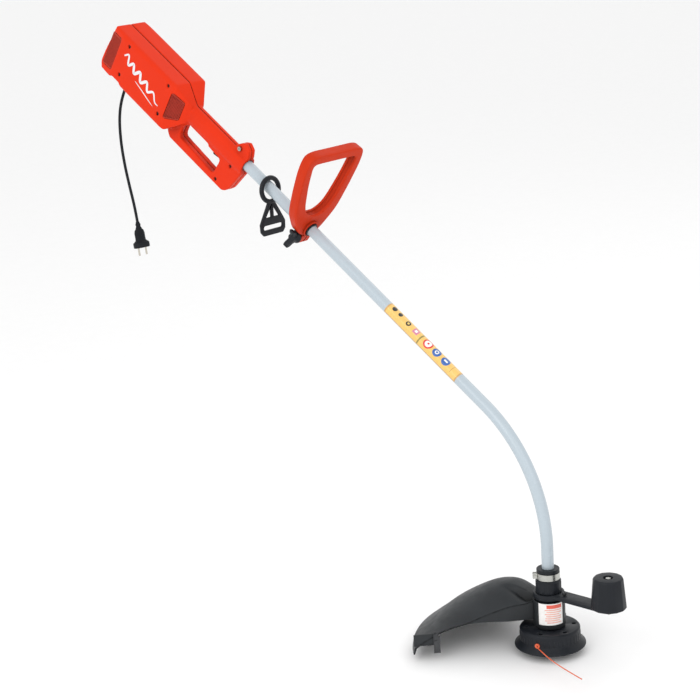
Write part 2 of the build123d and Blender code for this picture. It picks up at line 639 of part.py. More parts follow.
def make_cutter(screws):
    """The line cutter on its bracket, with its screws added to the guard's own."""
    direction = Rot(0, 0, GUARD_END)
    blade = block(CUTTER_R, CUTTER_R + 14, 0.1, 1.7, -18, 30)
    blade = blade - block(CUTTER_R - 1, CUTTER_R + 3, -1, 3, 20, 40)
    holes = [rod_y(1.6, -8, 8, CUTTER_R + 9, z) for z in (24.0, 8.0)]
    for hole in holes:
        blade = blade - hole
    keep("line_cutter", direction * blade, at_head)
    guard = NODES["guard"] + at_head(direction * block(CUTTER_R + 4, GUARD_RIM_R + 1, -2.9, 0, 0, 26))
    for hole in holes:
        guard = guard - at_head(direction * hole)
    NODES["guard"] = guard.solids().sort_by(SortBy.VOLUME)[-1]
    for z in (24.0, 8.0):
        body = rod_y(1.6, -2.9, 1.7, CUTTER_R + 9, z) + rod_y(2.9, 1.7, 3.6, CUTTER_R + 9, z)
        screws.append((direction * body).solids()[0])
    keep("guard_screws", Compound(children=screws), at_head)


def make_spindle():
    spindle = rod_z(SPINDLE_R, 2, 86) + rod_z(7, 24, 36.2) + rod_z(SPINDLE_THREAD_R, -7, 3)
    spindle = spindle - rod_z(CABLE_R, 70, 90)
    keep("head_spindle", spindle, at_head)
    hexagon = extrude(Plane.XY.offset(-5) * RegularPolygon(8, 6), 7)
    keep("spindle_nut", hexagon - rod_z(SPINDLE_THREAD_R, -6, 3), at_head)


def make_spool_cup():
    profile = [(SPINDLE_R, CUP_TOP), (CUP_R - 3, CUP_TOP), (CUP_R, CUP_TOP - 3), (CUP_R, -5), (FLANGE_R, -16),
               (FLANGE_R, FLANGE_BOTTOM), (FLANGE_R - 3, FLANGE_BOTTOM), (CUP_R - CUP_WALL, -7),
               (CUP_R - CUP_WALL, CUP_TOP - 4), (11, CUP_TOP - 4), (11, 2), (SPINDLE_R, 2)]
    cup = turned(profile)
    for index in range(6):
        cup = cup - Rot(0, 0, index * 60 - 15) * rod_z(4.5, 15, 30, 51)
    for turn in (0, 180):
        cup = cup - Rot(0, 0, EYELET_ANGLE + turn) * rod_x(EYELET_R, CUP_R - CUP_WALL - 6, CUP_R + 6)
    keep("spool_housing", cup, at_head)
    eyelets = []
    for turn in (0, 180):
        body = rod_x(EYELET_R, CUP_R - CUP_WALL - 1, CUP_R + 1) + rod_x(EYELET_R + 1.4, CUP_R + 0.4, CUP_R + 2.2)
        body = body - rod_x(LINE_R + 0.6, CUP_R - CUP_WALL - 10, CUP_R + 10)
        eyelets.append((Rot(0, 0, EYELET_ANGLE + turn) * body).solids()[0])
    keep("line_eyelets", Compound(children=eyelets), at_head)
    bore = CUP_R - CUP_WALL
    cover = rod_z(bore, -17, -4) - rod_z(bore - 1.8, -14.2, 0) - rod_z(BUTTON_R + CLEARANCE, -20, -10)
    keep("spool_cover", cover, at_head)


def make_spool():
    spool = rod_z(SPOOL_R, -13.6, -11.4) + rod_z(SPOOL_R, 9.4, 11.4) + rod_z(SPOOL_CORE_R, -13.6, 11.4)
    keep("line_spool", spool - rod_z(16, -20, 20), at_head)
    wound = rod_z(SPOOL_R - 5, -11.2, 9.2) - rod_z(SPOOL_CORE_R + 0.1, -20, 20)
    keep("wound_line", wound, at_head)
    profile = [(0, -34), (14, -33), (22, -29), (BUTTON_R, -23), (BUTTON_R, -13.6), (15.8, -13.6), (15.8, -9),
               (13, -9), (13, -18), (0, -18)]
    keep("tap_button", turned(profile), at_head)
    keep("tap_spring", rod_z(12.8, -17.9, 17.9) - rod_z(11.6, -20, 20), at_head)


LINE_ROUTE = [(15.6, -67.4, 0.0), (36.0, -80.0, 0.3), (75.0, -101.0, 0.0), (128.0, -122.0, -0.8),
              (184.0, -138.0, -2.0)]
CORD_ROUTE = [(-289.6, 0.0, 89.2), (-310.0, 0.0, 59.57), (-326.0, 0.0, 12.0), (-328.5, 0.0, -46.0),
              (-322.0, 0.0, -104.0), (-310.0, 0.0, -160.0), (-298.0, 0.0, -208.0), (-293.0, 0.0, -244.0)]


def cord_tube(route, radius, label):
    """Tube along straight runs joined by arcs that are as large as their runs allow."""
    points = [Vector(*p) for p in route]
    radii = []
    for before, corner, after in zip(points, points[1:], points[2:]):
        turn = math.radians((corner - before).get_angle(after - corner))
        shorter = min((corner - before).length, (after - corner).length)
        radii.append(0.45 * shorter / math.tan(turn / 2))
    path = FilletPolyline(*points, radius=radii)
    section = Plane(path @ 0, z_dir=path % 0) * Circle(radius)
    tube = sweep(section, path)
    expected = math.pi * radius ** 2 * path.length
    print(label, "radii", [round(r) for r in radii], "length", round(path.length, 1),
          "volume ratio", round(tube.volume / expected, 4))
    return tube


def make_lines():
    first = cord_tube(LINE_ROUTE, LINE_R, "cutting line")
    lines = [first.solids()[0], (Rot(0, 0, 180) * first).solids()[0]]
    keep("cutting_line_near", lines[0], at_head)
    keep("cutting_line_far", lines[1], at_head)


# ---------------------------------------------------------------- guide roller
def make_roller():
    ring = rod_z(NECK_R + 6, 88, 100) - rod_z(NECK_R, 80, 110)
    arm = block(20, ROLLER_X, -ARM_HALF_WIDTH, ARM_HALF_WIDTH, ARM_TOP - ARM_THICKNESS, ARM_TOP)
    arm = arm + rod_z(ARM_HALF_WIDTH, ARM_TOP - ARM_THICKNESS, ARM_TOP, ROLLER_X)
    arm = arm + block(30, ROLLER_X - 12, -3, 3, 86, ARM_TOP - 1)
    arm = arm - rod_z(NECK_R, 80, 110) + ring
    keep("guide_arm", arm - rod_z(3.2, 80, 110, ROLLER_X) - rod_z(2.2, 80, 110, ARM_SCREW_X), at_head)
    screw = rod_z(2.2, 84, 103, ARM_SCREW_X) + rod_z(4.5, 101, 106, ARM_SCREW_X)
    keep("arm_screw", screw - rod_z(1.8, 104, 110, ARM_SCREW_X), at_head)
    base, top = ARM_TOP + CLEARANCE, ARM_TOP + CLEARANCE + ROLLER_HEIGHT
    profile = [(ROLLER_AXLE_R + FIT, base + 1), (12, base + 1), (12, top - 14), (ROLLER_TOP_R - 4, top - 14),
               (ROLLER_BOTTOM_R - 4, base), (ROLLER_BOTTOM_R, base), (ROLLER_BOTTOM_R, base + 3),
               (ROLLER_TOP_R, top - 3), (ROLLER_TOP_R - 3, top), (9.5, top), (9.5, top - 7),
               (ROLLER_AXLE_R + FIT, top - 7)]
    keep("guide_roller", Pos(ROLLER_X, 0, 0) * turned(profile), at_head)
    sleeve = rod_z(ROLLER_AXLE_R, ARM_TOP, top - 7, ROLLER_X) - rod_z(3.2, 50, 200, ROLLER_X)
    keep("roller_axle", sleeve, at_head)
    bolt = rod_z(3.2, 84, top - 7, ROLLER_X) + rod_z(7.6, top - 6.7, top - 5.4, ROLLER_X)
    bolt = bolt + rod_z(3.2, top - 8, top - 5, ROLLER_X)
    hexagon = extrude(Plane((ROLLER_X, 0, top - 5.4)) * RegularPolygon(5.6, 6), 4)
    keep("roller_bolt", bolt + hexagon, at_head)
    nut = extrude(Plane((ROLLER_X, 0, 86.5)) * RegularPolygon(6, 6), 5.5) - rod_z(3.2, 80, 100, ROLLER_X)
    keep("roller_nut", nut, at_head)


# ---------------------------------------------------------------- supply cord
def make_cord():
    gland = rod_z(GLAND_R, NOTCH_Z - 4, NOTCH_Z + 8, GLAND_X)
    gland = gland + rod_z(GLAND_R + 2.5, NOTCH_Z + WALL, NOTCH_Z + WALL + 3, GLAND_X)
    keep("cord_gland", gland + Pos(GLAND_X, 0, NOTCH_Z - 16) * Cone(4.6, GLAND_R, 24))
    keep("power_cord", cord_tube(cord_points(), CORD_R, "power cord"), unplaced)
    frame = plug_frame()
    grip = Pos(0, 0, 34) * Box(26, 15, 32)
    grip = fillet(grip.edges().filter_by(Axis.Z), 5)
    base = extrude(Plane.XY.offset(50) * SlotOverall(40, 27), 13)
    neck = Pos(0, 0, 9.5) * Cone(4.6, 7, 19)
    keep("plug_body", frame * (neck + grip + base), unplaced)
    pins = [rod_z(PIN_R, 63, 63 + PIN_LENGTH, side * PIN_SPACING / 2) for side in (-1, 1)]
    keep("plug_pins", frame * Compound(children=pins), unplaced)


def cord_points():
    """The cord's corners; the first is the middle of the gland's tip."""
    tip = along_shaft(Vertex(GLAND_X, 0, NOTCH_Z - 28)).center()
    return [(tip.X, tip.Y, tip.Z), *CORD_ROUTE[1:]]


def plug_frame():
    """Frame at the cord's end: z runs on along the last run, x across the two pins."""
    start, end = Vector(*CORD_ROUTE[-2]), Vector(*CORD_ROUTE[-1])
    run = (end - start).normalized()
    yaw = math.radians(PLUG_YAW)
    across = Vector(-math.sin(yaw), math.cos(yaw), 0)
    across = across - run * across.dot(run)
    return Plane(end, x_dir=across, z_dir=run).location


def main():
    os.makedirs("parts", exist_ok=True)
    for maker in (make_housing, make_vents, make_housing_screws, make_motor, make_trigger, make_shaft,
                  make_handle, make_hanger, make_head_case, make_guard, make_spindle, make_spool_cup,
                  make_spool, make_lines, make_roller, make_cord):
        maker()
    for name, shape in NODES.items():
        export_step(shape, f"parts/{name}.step")
    print(len(NODES), "nodes")


main()
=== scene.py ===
"""Electric string trimmer: its looks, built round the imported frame. Lengths are in metres."""
import logging
import math
from dataclasses import dataclass
from enum import Enum
from typing import Callable, Sequence

import bmesh
import bpy
from mathutils import Matrix, Vector


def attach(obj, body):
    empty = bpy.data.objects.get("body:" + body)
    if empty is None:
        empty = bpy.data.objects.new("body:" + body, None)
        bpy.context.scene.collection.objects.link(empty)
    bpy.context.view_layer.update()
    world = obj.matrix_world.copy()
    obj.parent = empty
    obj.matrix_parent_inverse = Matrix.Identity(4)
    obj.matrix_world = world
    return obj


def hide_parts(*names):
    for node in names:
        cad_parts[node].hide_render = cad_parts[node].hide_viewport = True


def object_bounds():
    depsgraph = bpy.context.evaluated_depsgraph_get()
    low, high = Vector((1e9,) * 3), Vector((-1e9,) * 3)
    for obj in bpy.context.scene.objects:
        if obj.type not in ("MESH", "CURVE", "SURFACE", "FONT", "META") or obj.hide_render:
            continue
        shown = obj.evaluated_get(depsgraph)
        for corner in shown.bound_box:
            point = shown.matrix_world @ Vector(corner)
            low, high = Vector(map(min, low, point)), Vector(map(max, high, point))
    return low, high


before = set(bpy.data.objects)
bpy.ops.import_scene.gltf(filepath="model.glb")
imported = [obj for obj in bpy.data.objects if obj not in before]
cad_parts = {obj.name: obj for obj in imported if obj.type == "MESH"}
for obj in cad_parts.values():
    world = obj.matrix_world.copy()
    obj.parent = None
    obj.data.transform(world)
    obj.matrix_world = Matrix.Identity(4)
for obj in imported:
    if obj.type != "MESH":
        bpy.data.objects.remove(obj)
CAD_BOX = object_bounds()
LOG = logging.getLogger("trimmer")

Colour = tuple[float, float, float]
Pair = tuple[float, float]
Points = list[Vector]

SHAFT_TILT = math.radians(34.6)
SHAFT_REACH = 0.945
BEND_RADIUS = 0.353
NECK_DROP = 0.195
QUARTER = math.pi / 2
SHAFT = Matrix.Rotation(SHAFT_TILT, 4, "Y")
HEAD_X = SHAFT_REACH * math.cos(SHAFT_TILT) + BEND_RADIUS * (1 - math.sin(SHAFT_TILT))
BEND_Z = -SHAFT_REACH * math.sin(SHAFT_TILT) - BEND_RADIUS * math.cos(SHAFT_TILT)
HEAD_Z = BEND_Z - NECK_DROP
HEAD = Matrix.Translation((HEAD_X, 0.0, HEAD_Z))
STAYS = Matrix.Identity(4)
WELD = 1e-5
TINY = 1e-6
SKIN_SINK = 0.0004
RANGE = ("From Min", "From Max", "To Min", "To Max")


class Body(Enum):
    """The moving bodies of the frame that pieces ride on."""

    ROOT = "root"
    HEAD = "cutting_head"
    SPOOL = "spool"
    HANDLE = "front_handle"
    KNOB = "wing_knob"
    ROLLER = "guide_roller"
    HANGER = "strap_hanger"
    TRIGGER = "trigger"


class Direction(Enum):
    """The way in which a repeated part is laid out."""

    RING = "ring"
    ROW = "row"


# ---------------------------------------------------------------- node helpers
def feed(node: bpy.types.Node, inputs: dict[str | int, object]) -> None:
    """Link or set a node's inputs.

    Args:
        node: The node.
        inputs: A socket, which is linked in, or a plain value for each input.
    """
    for key, value in inputs.items():
        if isinstance(value, bpy.types.NodeSocket):
            node.id_data.links.new(value, node.inputs[key])
        else:
            node.inputs[key].default_value = value


def add_node(tree: bpy.types.NodeTree, kind: str, inputs: dict[str | int, object] | None = None,
             **settings: object) -> bpy.types.Node:
    """Add a node, set its plain properties and feed it.

    Args:
        tree: The tree that gets the node.
        kind: The node's type name.
        inputs: What its inputs get.
        **settings: Properties and their values.

    Returns:
        The new node.
    """
    node = tree.nodes.new(kind)
    for name, value in settings.items():
        setattr(node, name, value)
    feed(node, inputs or {})
    return node


def math_node(tree: bpy.types.NodeTree, operation: str, first: object,
              second: object = 0.0) -> bpy.types.NodeSocket:
    """Work out one step of arithmetic on sockets or numbers."""
    return add_node(tree, "ShaderNodeMath", {0: first, 1: second}, operation=operation).outputs[0]


def noise(tree: bpy.types.NodeTree, scale: float, detail: float = 2.0,
          stretch: Colour = (1.0, 1.0, 1.0)) -> bpy.types.NodeSocket:
    """Add a noise over the object's own coordinates.

    Args:
        tree: The material's tree.
        scale: Cells per metre.
        detail: Octaves.
        stretch: Scale along each axis.

    Returns:
        The noise's value.
    """
    place = add_node(tree, "ShaderNodeTexCoord").outputs["Object"]
    mapping = add_node(tree, "ShaderNodeMapping", {"Vector": place, "Scale": stretch})
    return add_node(tree, "ShaderNodeTexNoise", {"Vector": mapping.outputs["Vector"], "Scale": scale,
                                                 "Detail": detail}).outputs["Fac"]


def ramp(tree: bpy.types.NodeTree, value: bpy.types.NodeSocket, stops: Pair,
         colours: tuple[Colour, Colour]) -> bpy.types.NodeSocket:
    """Turn a value into a colour between two stops.

    Args:
        tree: The material's tree.
        value: The value that is looked up.
        stops: Where the first colour ends and where the second starts.
        colours: The two colours.

    Returns:
        The colour.
    """
    node = add_node(tree, "ShaderNodeValToRGB", {"Fac": value})
    for element, stop, colour in zip(node.color_ramp.elements, stops, colours):
        element.position = stop
        element.color = (*colour, 1.0)
    return node.outputs["Color"]


def spread(tree: bpy.types.NodeTree, value: bpy.types.NodeSocket, low: float, high: float,
           first: float = 0.3, last: float = 0.7) -> bpy.types.NodeSocket:
    """Map a range of a value to another range, by default the middle of a noise.

    Args:
        tree: The material's tree.
        value: The value.
        low: The result where the value is low.
        high: The result where the value is high.
        first: Where the value counts as low.
        last: Where it counts as high.

    Returns:
        The mapped value.
    """
    limits = dict(zip(RANGE, (first, last, low, high)))
    return add_node(tree, "ShaderNodeMapRange", {**limits, "Value": value}).outputs["Result"]


def mixed(tree: bpy.types.NodeTree, share: bpy.types.NodeSocket, first: object,
          second: object) -> bpy.types.NodeSocket:
    """Mix two colours by a share of the second."""
    return add_node(tree, "ShaderNodeMix", {"Factor": share, "A": first, "B": second},
                    data_type="RGBA").outputs["Result"]


def shaded(colour: Colour, factor: float) -> Colour:
    """Scale a colour, kept within 0 and 1."""
    return tuple(min(1.0, max(0.0, c * factor)) for c in colour)


def clouded(tree: bpy.types.NodeTree, value: bpy.types.NodeSocket, stops: Pair, colour: Colour,
            swing: Pair) -> bpy.types.NodeSocket:
    """Let a colour wander with a noise.

    Args:
        tree: The material's tree.
        value: The noise.
        stops: Where the darker shade ends and the lighter one starts.
        colour: The colour.
        swing: Factors of the darker and the lighter shade.

    Returns:
        The colour.
    """
    return ramp(tree, value, stops, (shaded(colour, swing[0]), shaded(colour, swing[1])))


def new_material(name: str) -> tuple[bpy.types.Material, bpy.types.NodeTree, bpy.types.Node]:
    """Make a material.

    Args:
        name: The material's name.

    Returns:
        The material, its tree and its shader.
    """
    made = bpy.data.materials.new(name)
    made.use_nodes = True
    return made, made.node_tree, made.node_tree.nodes["Principled BSDF"]


# ---------------------------------------------------------------- finishes
@dataclass(frozen=True)
class Moulded:
    """A moulded plastic or rubber with a fine grain, mottling, rubbed edges and, where depth is set, painted
    shade in its hollows.

    Attributes:
        name: The material's name.
        colour: Its main colour.
        rough: Mean roughness.
        grain: Cells of the surface grain per metre.
        relief: Height of the grain.
        mottle: How far the colour wanders, as a share.
        worn: How much lighter the outer edges are.
        coat: Weight of the clear gloss on top.
        metallic: Metal content.
        stretch: Scale of the grain along each axis.
        shine: Strength of the mirror reflection.
        depth: How strongly painted shade darkens the hollows.
    """

    name: str
    colour: Colour
    rough: float = 0.4
    grain: float = 1400.0
    relief: float = 0.00004
    mottle: float = 0.07
    worn: float = 0.25
    coat: float = 0.0
    metallic: float = 0.0
    stretch: Colour = (1.0, 1.0, 1.0)
    shine: float = 0.5
    depth: float = 0.0

    def title(self) -> str:
        """Name the material apart from the frame's own materials."""
        return f"{self.name}_finish"

    def material(self) -> bpy.types.Material:
        """Make the material, or find it where it was made before."""
        found = bpy.data.materials.get(self.title())
        if found is not None:
            return found
        made, tree, shader = new_material(self.title())
        base = clouded(tree, noise(tree, 26.0, 4.0), (0.35, 0.65), self.colour,
                       (1 - self.mottle, 1 + self.mottle))
        edge = add_node(tree, "ShaderNodeNewGeometry").outputs["Pointiness"]
        rubbed = spread(tree, edge, 0.0, self.worn, 0.52, 0.62)
        pale = shaded(tuple(c * 0.8 + 0.16 for c in self.colour), 1.0)
        bump = add_node(tree, "ShaderNodeBump", {
            "Distance": self.relief, "Strength": 0.6, "Height": noise(tree, self.grain, 2.0, self.stretch)})
        feed(shader, {
            "Metallic": self.metallic, "Coat Weight": self.coat, "Coat Roughness": 0.12,
            "Specular IOR Level": self.shine,
            "Base Color": self.painted_hollow_shade(tree, mixed(tree, rubbed, base, (*pale, 1.0))),
            "Roughness": spread(tree, noise(tree, 60.0, 3.0), self.rough * 0.86, self.rough * 1.14),
            "Normal": bump.outputs["Normal"]})
        return made

    def painted_hollow_shade(self, tree: bpy.types.NodeTree, colour: bpy.types.NodeSocket) -> bpy.types.NodeSocket:
        """Paint shade into a colour where the surface lies in a hollow, as ambient occlusion finds it.

        Args:
            tree: The material's tree.
            colour: The colour.

        Returns:
            The colour with painted shade, or the same one where the finish has no depth.
        """
        if not self.depth:
            return colour
        # Painted shade: ambient occlusion darkens the base colour in recesses, where shade would fall.
        open_sky = add_node(tree, "ShaderNodeAmbientOcclusion", {"Distance": 0.05}, samples=6)
        closed = math_node(tree, "SUBTRACT", 1.0, open_sky.outputs["AO"])
        share = math_node(tree, "MULTIPLY", closed, self.depth)
        return mixed(tree, share, colour, (*shaded(self.colour, 0.12), 1.0))


@dataclass(frozen=True)
class Laminated(Moulded):
    """Stacked sheets or close turns: fine dark lines across one axis.

    Attributes:
        pitch: Distance from one line to the next.
    """

    pitch: float = 0.0012

    def material(self) -> bpy.types.Material:
        """Make the finish and lay the lines over its colour."""
        fresh = bpy.data.materials.get(self.title()) is None
        made = super().material()
        if fresh:
            tree = made.node_tree
            place = add_node(tree, "ShaderNodeTexCoord").outputs["Object"]
            turn = add_node(tree, "ShaderNodeMapping", {"Vector": place, "Rotation": (0.0, SHAFT_TILT, 0.0)})
            wave = add_node(tree, "ShaderNodeTexWave", {
                "Vector": turn.outputs["Vector"], "Scale": 0.3 / self.pitch}, bands_direction="X")
            lines = clouded(tree, wave.outputs["Fac"], (0.1, 0.6), self.colour, (0.45, 1.0))
            feed(tree.nodes["Principled BSDF"], {"Base Color": lines})
        return made


@dataclass(frozen=True)
class Patch:
    """One printed shape on a label: a disc, a ring or a bar.

    Attributes:
        colour: The ink.
        centre: Its middle along and across the label.
        half: Half its length, or a disc's radius.
        half_width: Half its width; a disc has none.
        hollow: Radius of the bare middle of a disc.
    """

    colour: Colour
    centre: Pair
    half: float
    half_width: float = 0.0
    hollow: float = 0.0

    def mask(self, tree: bpy.types.NodeTree, place: Sequence[bpy.types.NodeSocket]) -> bpy.types.NodeSocket:
        """Find what the patch covers.

        Args:
            tree: The material's tree.
            place: Place along and across the label.

        Returns:
            1 inside the patch and 0 outside.
        """
        u, v = (math_node(tree, "ABSOLUTE", math_node(tree, "SUBTRACT", way, middle))
                for way, middle in zip(place, self.centre))
        if self.half_width:
            return math_node(tree, "MULTIPLY", math_node(tree, "LESS_THAN", u, self.half),
                             math_node(tree, "LESS_THAN", v, self.half_width))
        squares = [math_node(tree, "POWER", way, 2.0) for way in (u, v)]
        radius = math_node(tree, "SQRT", math_node(tree, "ADD", *squares))
        disc = math_node(tree, "LESS_THAN", radius, self.half)
        if not self.hollow:
            return disc
        return math_node(tree, "MULTIPLY", disc, math_node(tree, "GREATER_THAN", radius, self.hollow))


@dataclass(frozen=True)
class Printed:
    """A printed label with plain patches of ink, laid out on the piece's own UV in metres.

    Attributes:
        name: The material's name.
        paper: Colour of the label.
        border: Colour of its edge.
        size: Its length and width.
        margin: Width of the edge.
        patches: The ink, from the bottom layer up.
    """

    name: str
    paper: Colour
    border: Colour
    size: Pair
    margin: float
    patches: tuple[Patch, ...]

    def material(self) -> bpy.types.Material:
        """Make the label's material."""
        made, tree, shader = new_material(self.name)
        uv = add_node(tree, "ShaderNodeUVMap", uv_map="label").outputs["UV"]
        place = add_node(tree, "ShaderNodeSeparateXYZ", {"Vector": uv}).outputs[:2]
        paper = Patch(self.paper, (0.0, 0.0), *(side / 2 - self.margin for side in self.size))
        print_so_far = clouded(tree, noise(tree, 90.0, 3.0), (0.3, 0.7), self.border, (0.94, 1.05))
        for patch in (paper, *self.patches):
            ink = clouded(tree, noise(tree, 140.0), (0.3, 0.7), patch.colour, (0.95, 1.04))
            print_so_far = mixed(tree, patch.mask(tree, place), print_so_far, ink)
        feed(shader, {"Coat Weight": 0.35, "Base Color": print_so_far,
                      "Roughness": spread(tree, noise(tree, 70.0), 0.3, 0.42)})
        return made


def metal(name: str, colour: Colour, *looks: float, **more: object) -> Moulded:
    """Make a bare metal finish: a moulded one with no coat and all metal."""
    return Moulded(name, colour, *looks, metallic=1.0, **more)


# Finishes with a depth get painted shade in their hollows.
ORANGE_SHELL = Moulded("orange_shell", (0.74, 0.036, 0.009), 0.34, 1800.0, 0.00001, 0.015, 0.03, shine=0.07,
                       depth=1.2)
ORANGE_HANDLE = Moulded("orange_handle", (0.56, 0.034, 0.007), 0.42, 1500.0, 0.00002, 0.03, 0.04, shine=0.08,
                        depth=1.2)
MESH_RED = Moulded("mesh_red", (0.44, 0.040, 0.022), 0.55, 1500.0, 0.00002, 0.06, 0.05, shine=0.15)
# A darker copy of the mesh red: painted shade for the sheet behind the vent bars.
VENT_PAINTED_SHADE = Moulded("vent_painted_shade", (0.22, 0.018, 0.012), 0.7, 1500.0, 0.00002, 0.06, 0.0, shine=0.2)
BLACK_PLASTIC = Moulded("black_plastic", (0.0110, 0.0130, 0.0170), 0.42, 1300.0, 0.00004, 0.10, 0.03,
                        shine=0.22)
BLACK_GRIP = Moulded("black_grip", (0.008, 0.009, 0.011), 0.5, 1000.0, 0.00005, 0.12, 0.03, shine=0.2)
GUARD_PLASTIC = Moulded("guard_plastic", (0.021, 0.024, 0.027), 0.46, 1100.0, 0.00005, 0.10, 0.03, shine=0.28,
                        depth=1.3)
TUBE_PAINT = Moulded("tube_paint", (0.46, 0.53, 0.58), 0.26, 900.0, 0.000002, 0.01, 0.0, 0.2, depth=0.6)
ZINC_STEEL = metal("zinc_steel", (0.50, 0.50, 0.47), 0.28, 700.0, 0.00002, 0.08, 0.1, stretch=(1.0, 1.0, 6.0))
BLACK_STEEL = Moulded("black_steel", (0.060, 0.062, 0.066), 0.42, 900.0, 0.00002, 0.12, 0.1, metallic=0.9)
BEARING_STEEL = metal("bearing_steel", (0.60, 0.60, 0.61), 0.16, 500.0, 0.00001, 0.04, 0.05)
SPRING_STEEL = Laminated("spring_steel", (0.42, 0.42, 0.43), 0.3, metallic=1.0, pitch=0.0016)
CORE_STEEL = Laminated("core_steel", (0.17, 0.17, 0.18), 0.5, metallic=0.9, pitch=0.001)
COPPER_WIRE = Laminated("copper_wire", (0.62, 0.25, 0.09), 0.3, metallic=0.9, pitch=0.0009)
COPPER_BARS = metal("copper_bars", (0.72, 0.38, 0.2), 0.24, 900.0, 0.00002, 0.08, 0.1)
CARBON = Moulded("pressed_carbon", (0.022, 0.022, 0.023), 0.7, 2200.0, 0.00006, 0.2, 0.1)
NYLON = Moulded("natural_nylon", (0.60, 0.58, 0.52), 0.42, 900.0, 0.00003, 0.05, 0.1)
CORD_RUBBER = Moulded("cord_rubber", (0.009, 0.011, 0.014), 0.5, 1600.0, 0.00005, 0.12, 0.06, shine=0.15)
PIN_METAL = metal("pin_metal", (0.62, 0.58, 0.51), 0.22, 600.0, 0.00001, 0.05, 0.05)
ORANGE_LINE = Moulded("orange_line", (0.74, 0.12, 0.04), 0.36, 900.0, 0.00002, 0.06, 0.05, 0.1)
WHITE_INK = Moulded("white_ink", (0.78, 0.78, 0.80), 0.4, 1200.0, 0.00001, 0.02, 0.0)
FLOOR_PAPER = Moulded("floor_paper", (0.97, 0.97, 0.97), 0.9, 40.0, 0.0001, 0.004, 0.0, shine=0.1)


# ---------------------------------------------------------------- mesh helpers
def placed(name: str, data: object) -> bpy.types.Object:
    """Put data in the scene as an object.

    Args:
        name: The object's name.
        data: A mesh, a curve, a lamp or a camera.

    Returns:
        The object.
    """
    made = bpy.data.objects.new(name, data)
    bpy.context.scene.collection.objects.link(made)
    return made


def dressed(data: object, finish: Moulded | Printed) -> object:
    """Give a mesh or a curve one finish only.

    Args:
        data: The mesh or the curve.
        finish: What it wears.

    Returns:
        The same mesh or curve.
    """
    data.materials.clear()
    data.materials.append(finish.material())
    return data


def finish_mesh(mesh: bpy.types.Mesh, sharp: float = 38.0) -> bpy.types.Mesh:
    """Smooth a mesh and keep its corners sharp.

    Args:
        mesh: The mesh.
        sharp: Turn between two faces, in degrees, above which their edge stays sharp.

    Returns:
        The same mesh.
    """
    mesh.shade_smooth()
    mesh.set_sharp_from_angle(angle=math.radians(sharp))
    return mesh


def file_piece(name: str, data: object, finish: Moulded | Printed | None, body: Body,
               replaces: Sequence[str] = ()) -> bpy.types.Object:
    """Put a mesh or a curve in the scene as a finished piece on its body.

    Args:
        name: The piece's name.
        data: Its mesh or curve, in the frame's coordinates.
        finish: The finish it wears; None keeps its own.
        body: The body it rides on.
        replaces: The nodes it stands for.

    Returns:
        The object.
    """
    piece = placed(name, data if finish is None else dressed(data, finish))
    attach(piece, body.value)
    if replaces:
        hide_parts(*replaces)
    LOG.info("%s filed", name)
    return piece


def edited(mesh: bpy.types.Mesh, *steps: Callable[[bmesh.types.BMesh], object]) -> bpy.types.Mesh:
    """Take a mesh through editing steps.

    Args:
        mesh: The mesh.
        *steps: What is done to it, in order.

    Returns:
        The same mesh.
    """
    work = bmesh.new()
    work.from_mesh(mesh)
    for step in steps:
        step(work)
    work.to_mesh(mesh)
    work.free()
    return mesh


def weld(work: bmesh.types.BMesh, gap: float = WELD) -> None:
    """Join points that coincide."""
    bmesh.ops.remove_doubles(work, verts=work.verts, dist=gap)


def face_out(work: bmesh.types.BMesh) -> None:
    """Turn the faces outwards."""
    bmesh.ops.recalc_face_normals(work, faces=work.faces)


def tidy_mesh(mesh: bpy.types.Mesh) -> bpy.types.Mesh:
    """Weld points that coincide, turn the faces outwards and smooth them."""
    return finish_mesh(edited(mesh, lambda work: weld(work, TINY), face_out))


def mesh_of(points: Sequence[Vector], faces: Sequence[Sequence[int]],
            place: Matrix = STAYS) -> bpy.types.Mesh:
    """Make a mesh with its faces turned outwards.

    Args:
        points: Its points.
        faces: Its faces, as numbers of points.
        place: Where the points' own frame lies.

    Returns:
        The mesh.
    """
    mesh = bpy.data.meshes.new("mesh")
    mesh.from_pydata([tuple(place @ p) for p in points], [], faces)
    return tidy_mesh(mesh)


def applied(mesh: bpy.types.Mesh, set_up: Callable[[bpy.types.Object], None]) -> bpy.types.Mesh:
    """Apply modifiers to a mesh.

    Args:
        mesh: The mesh.
        set_up: Adds the modifiers to the object that holds it.

    Returns:
        The result.
    """
    host = placed("host", mesh)
    set_up(host)
    bpy.context.view_layer.update()
    ready = host.evaluated_get(bpy.context.evaluated_depsgraph_get())
    result = bpy.data.meshes.new_from_object(ready)
    bpy.data.objects.remove(host)
    return result


def polar(radius: float, angle: float, height: float = 0.0) -> Vector:
    """Find the point at a radius, an angle and a height about the Z axis."""
    return Vector((radius * math.cos(angle), radius * math.sin(angle), height))


def on_shaft(along: float, height: float = 0.0) -> Matrix:
    """Find the frame at a place along the shaft and a height over its middle."""
    return SHAFT @ Matrix.Translation((along, 0.0, height))


def strips(rings: int, around: int, closed_rings: bool, closed_around: bool = True) -> list[list[int]]:
    """List the faces of a grid of rings.

    Args:
        rings: How many rings.
        around: Points in each ring.
        closed_rings: Whether the last ring joins the first.
        closed_around: Whether each ring closes on itself.

    Returns:
        The faces.
    """
    faces = []
    for i in range(rings if closed_rings else rings - 1):
        for j in range(around if closed_around else around - 1):
            k, m = (j + 1) % around, (i + 1) % rings
            faces.append([i * around + j, i * around + k, m * around + k, m * around + j])
    return faces


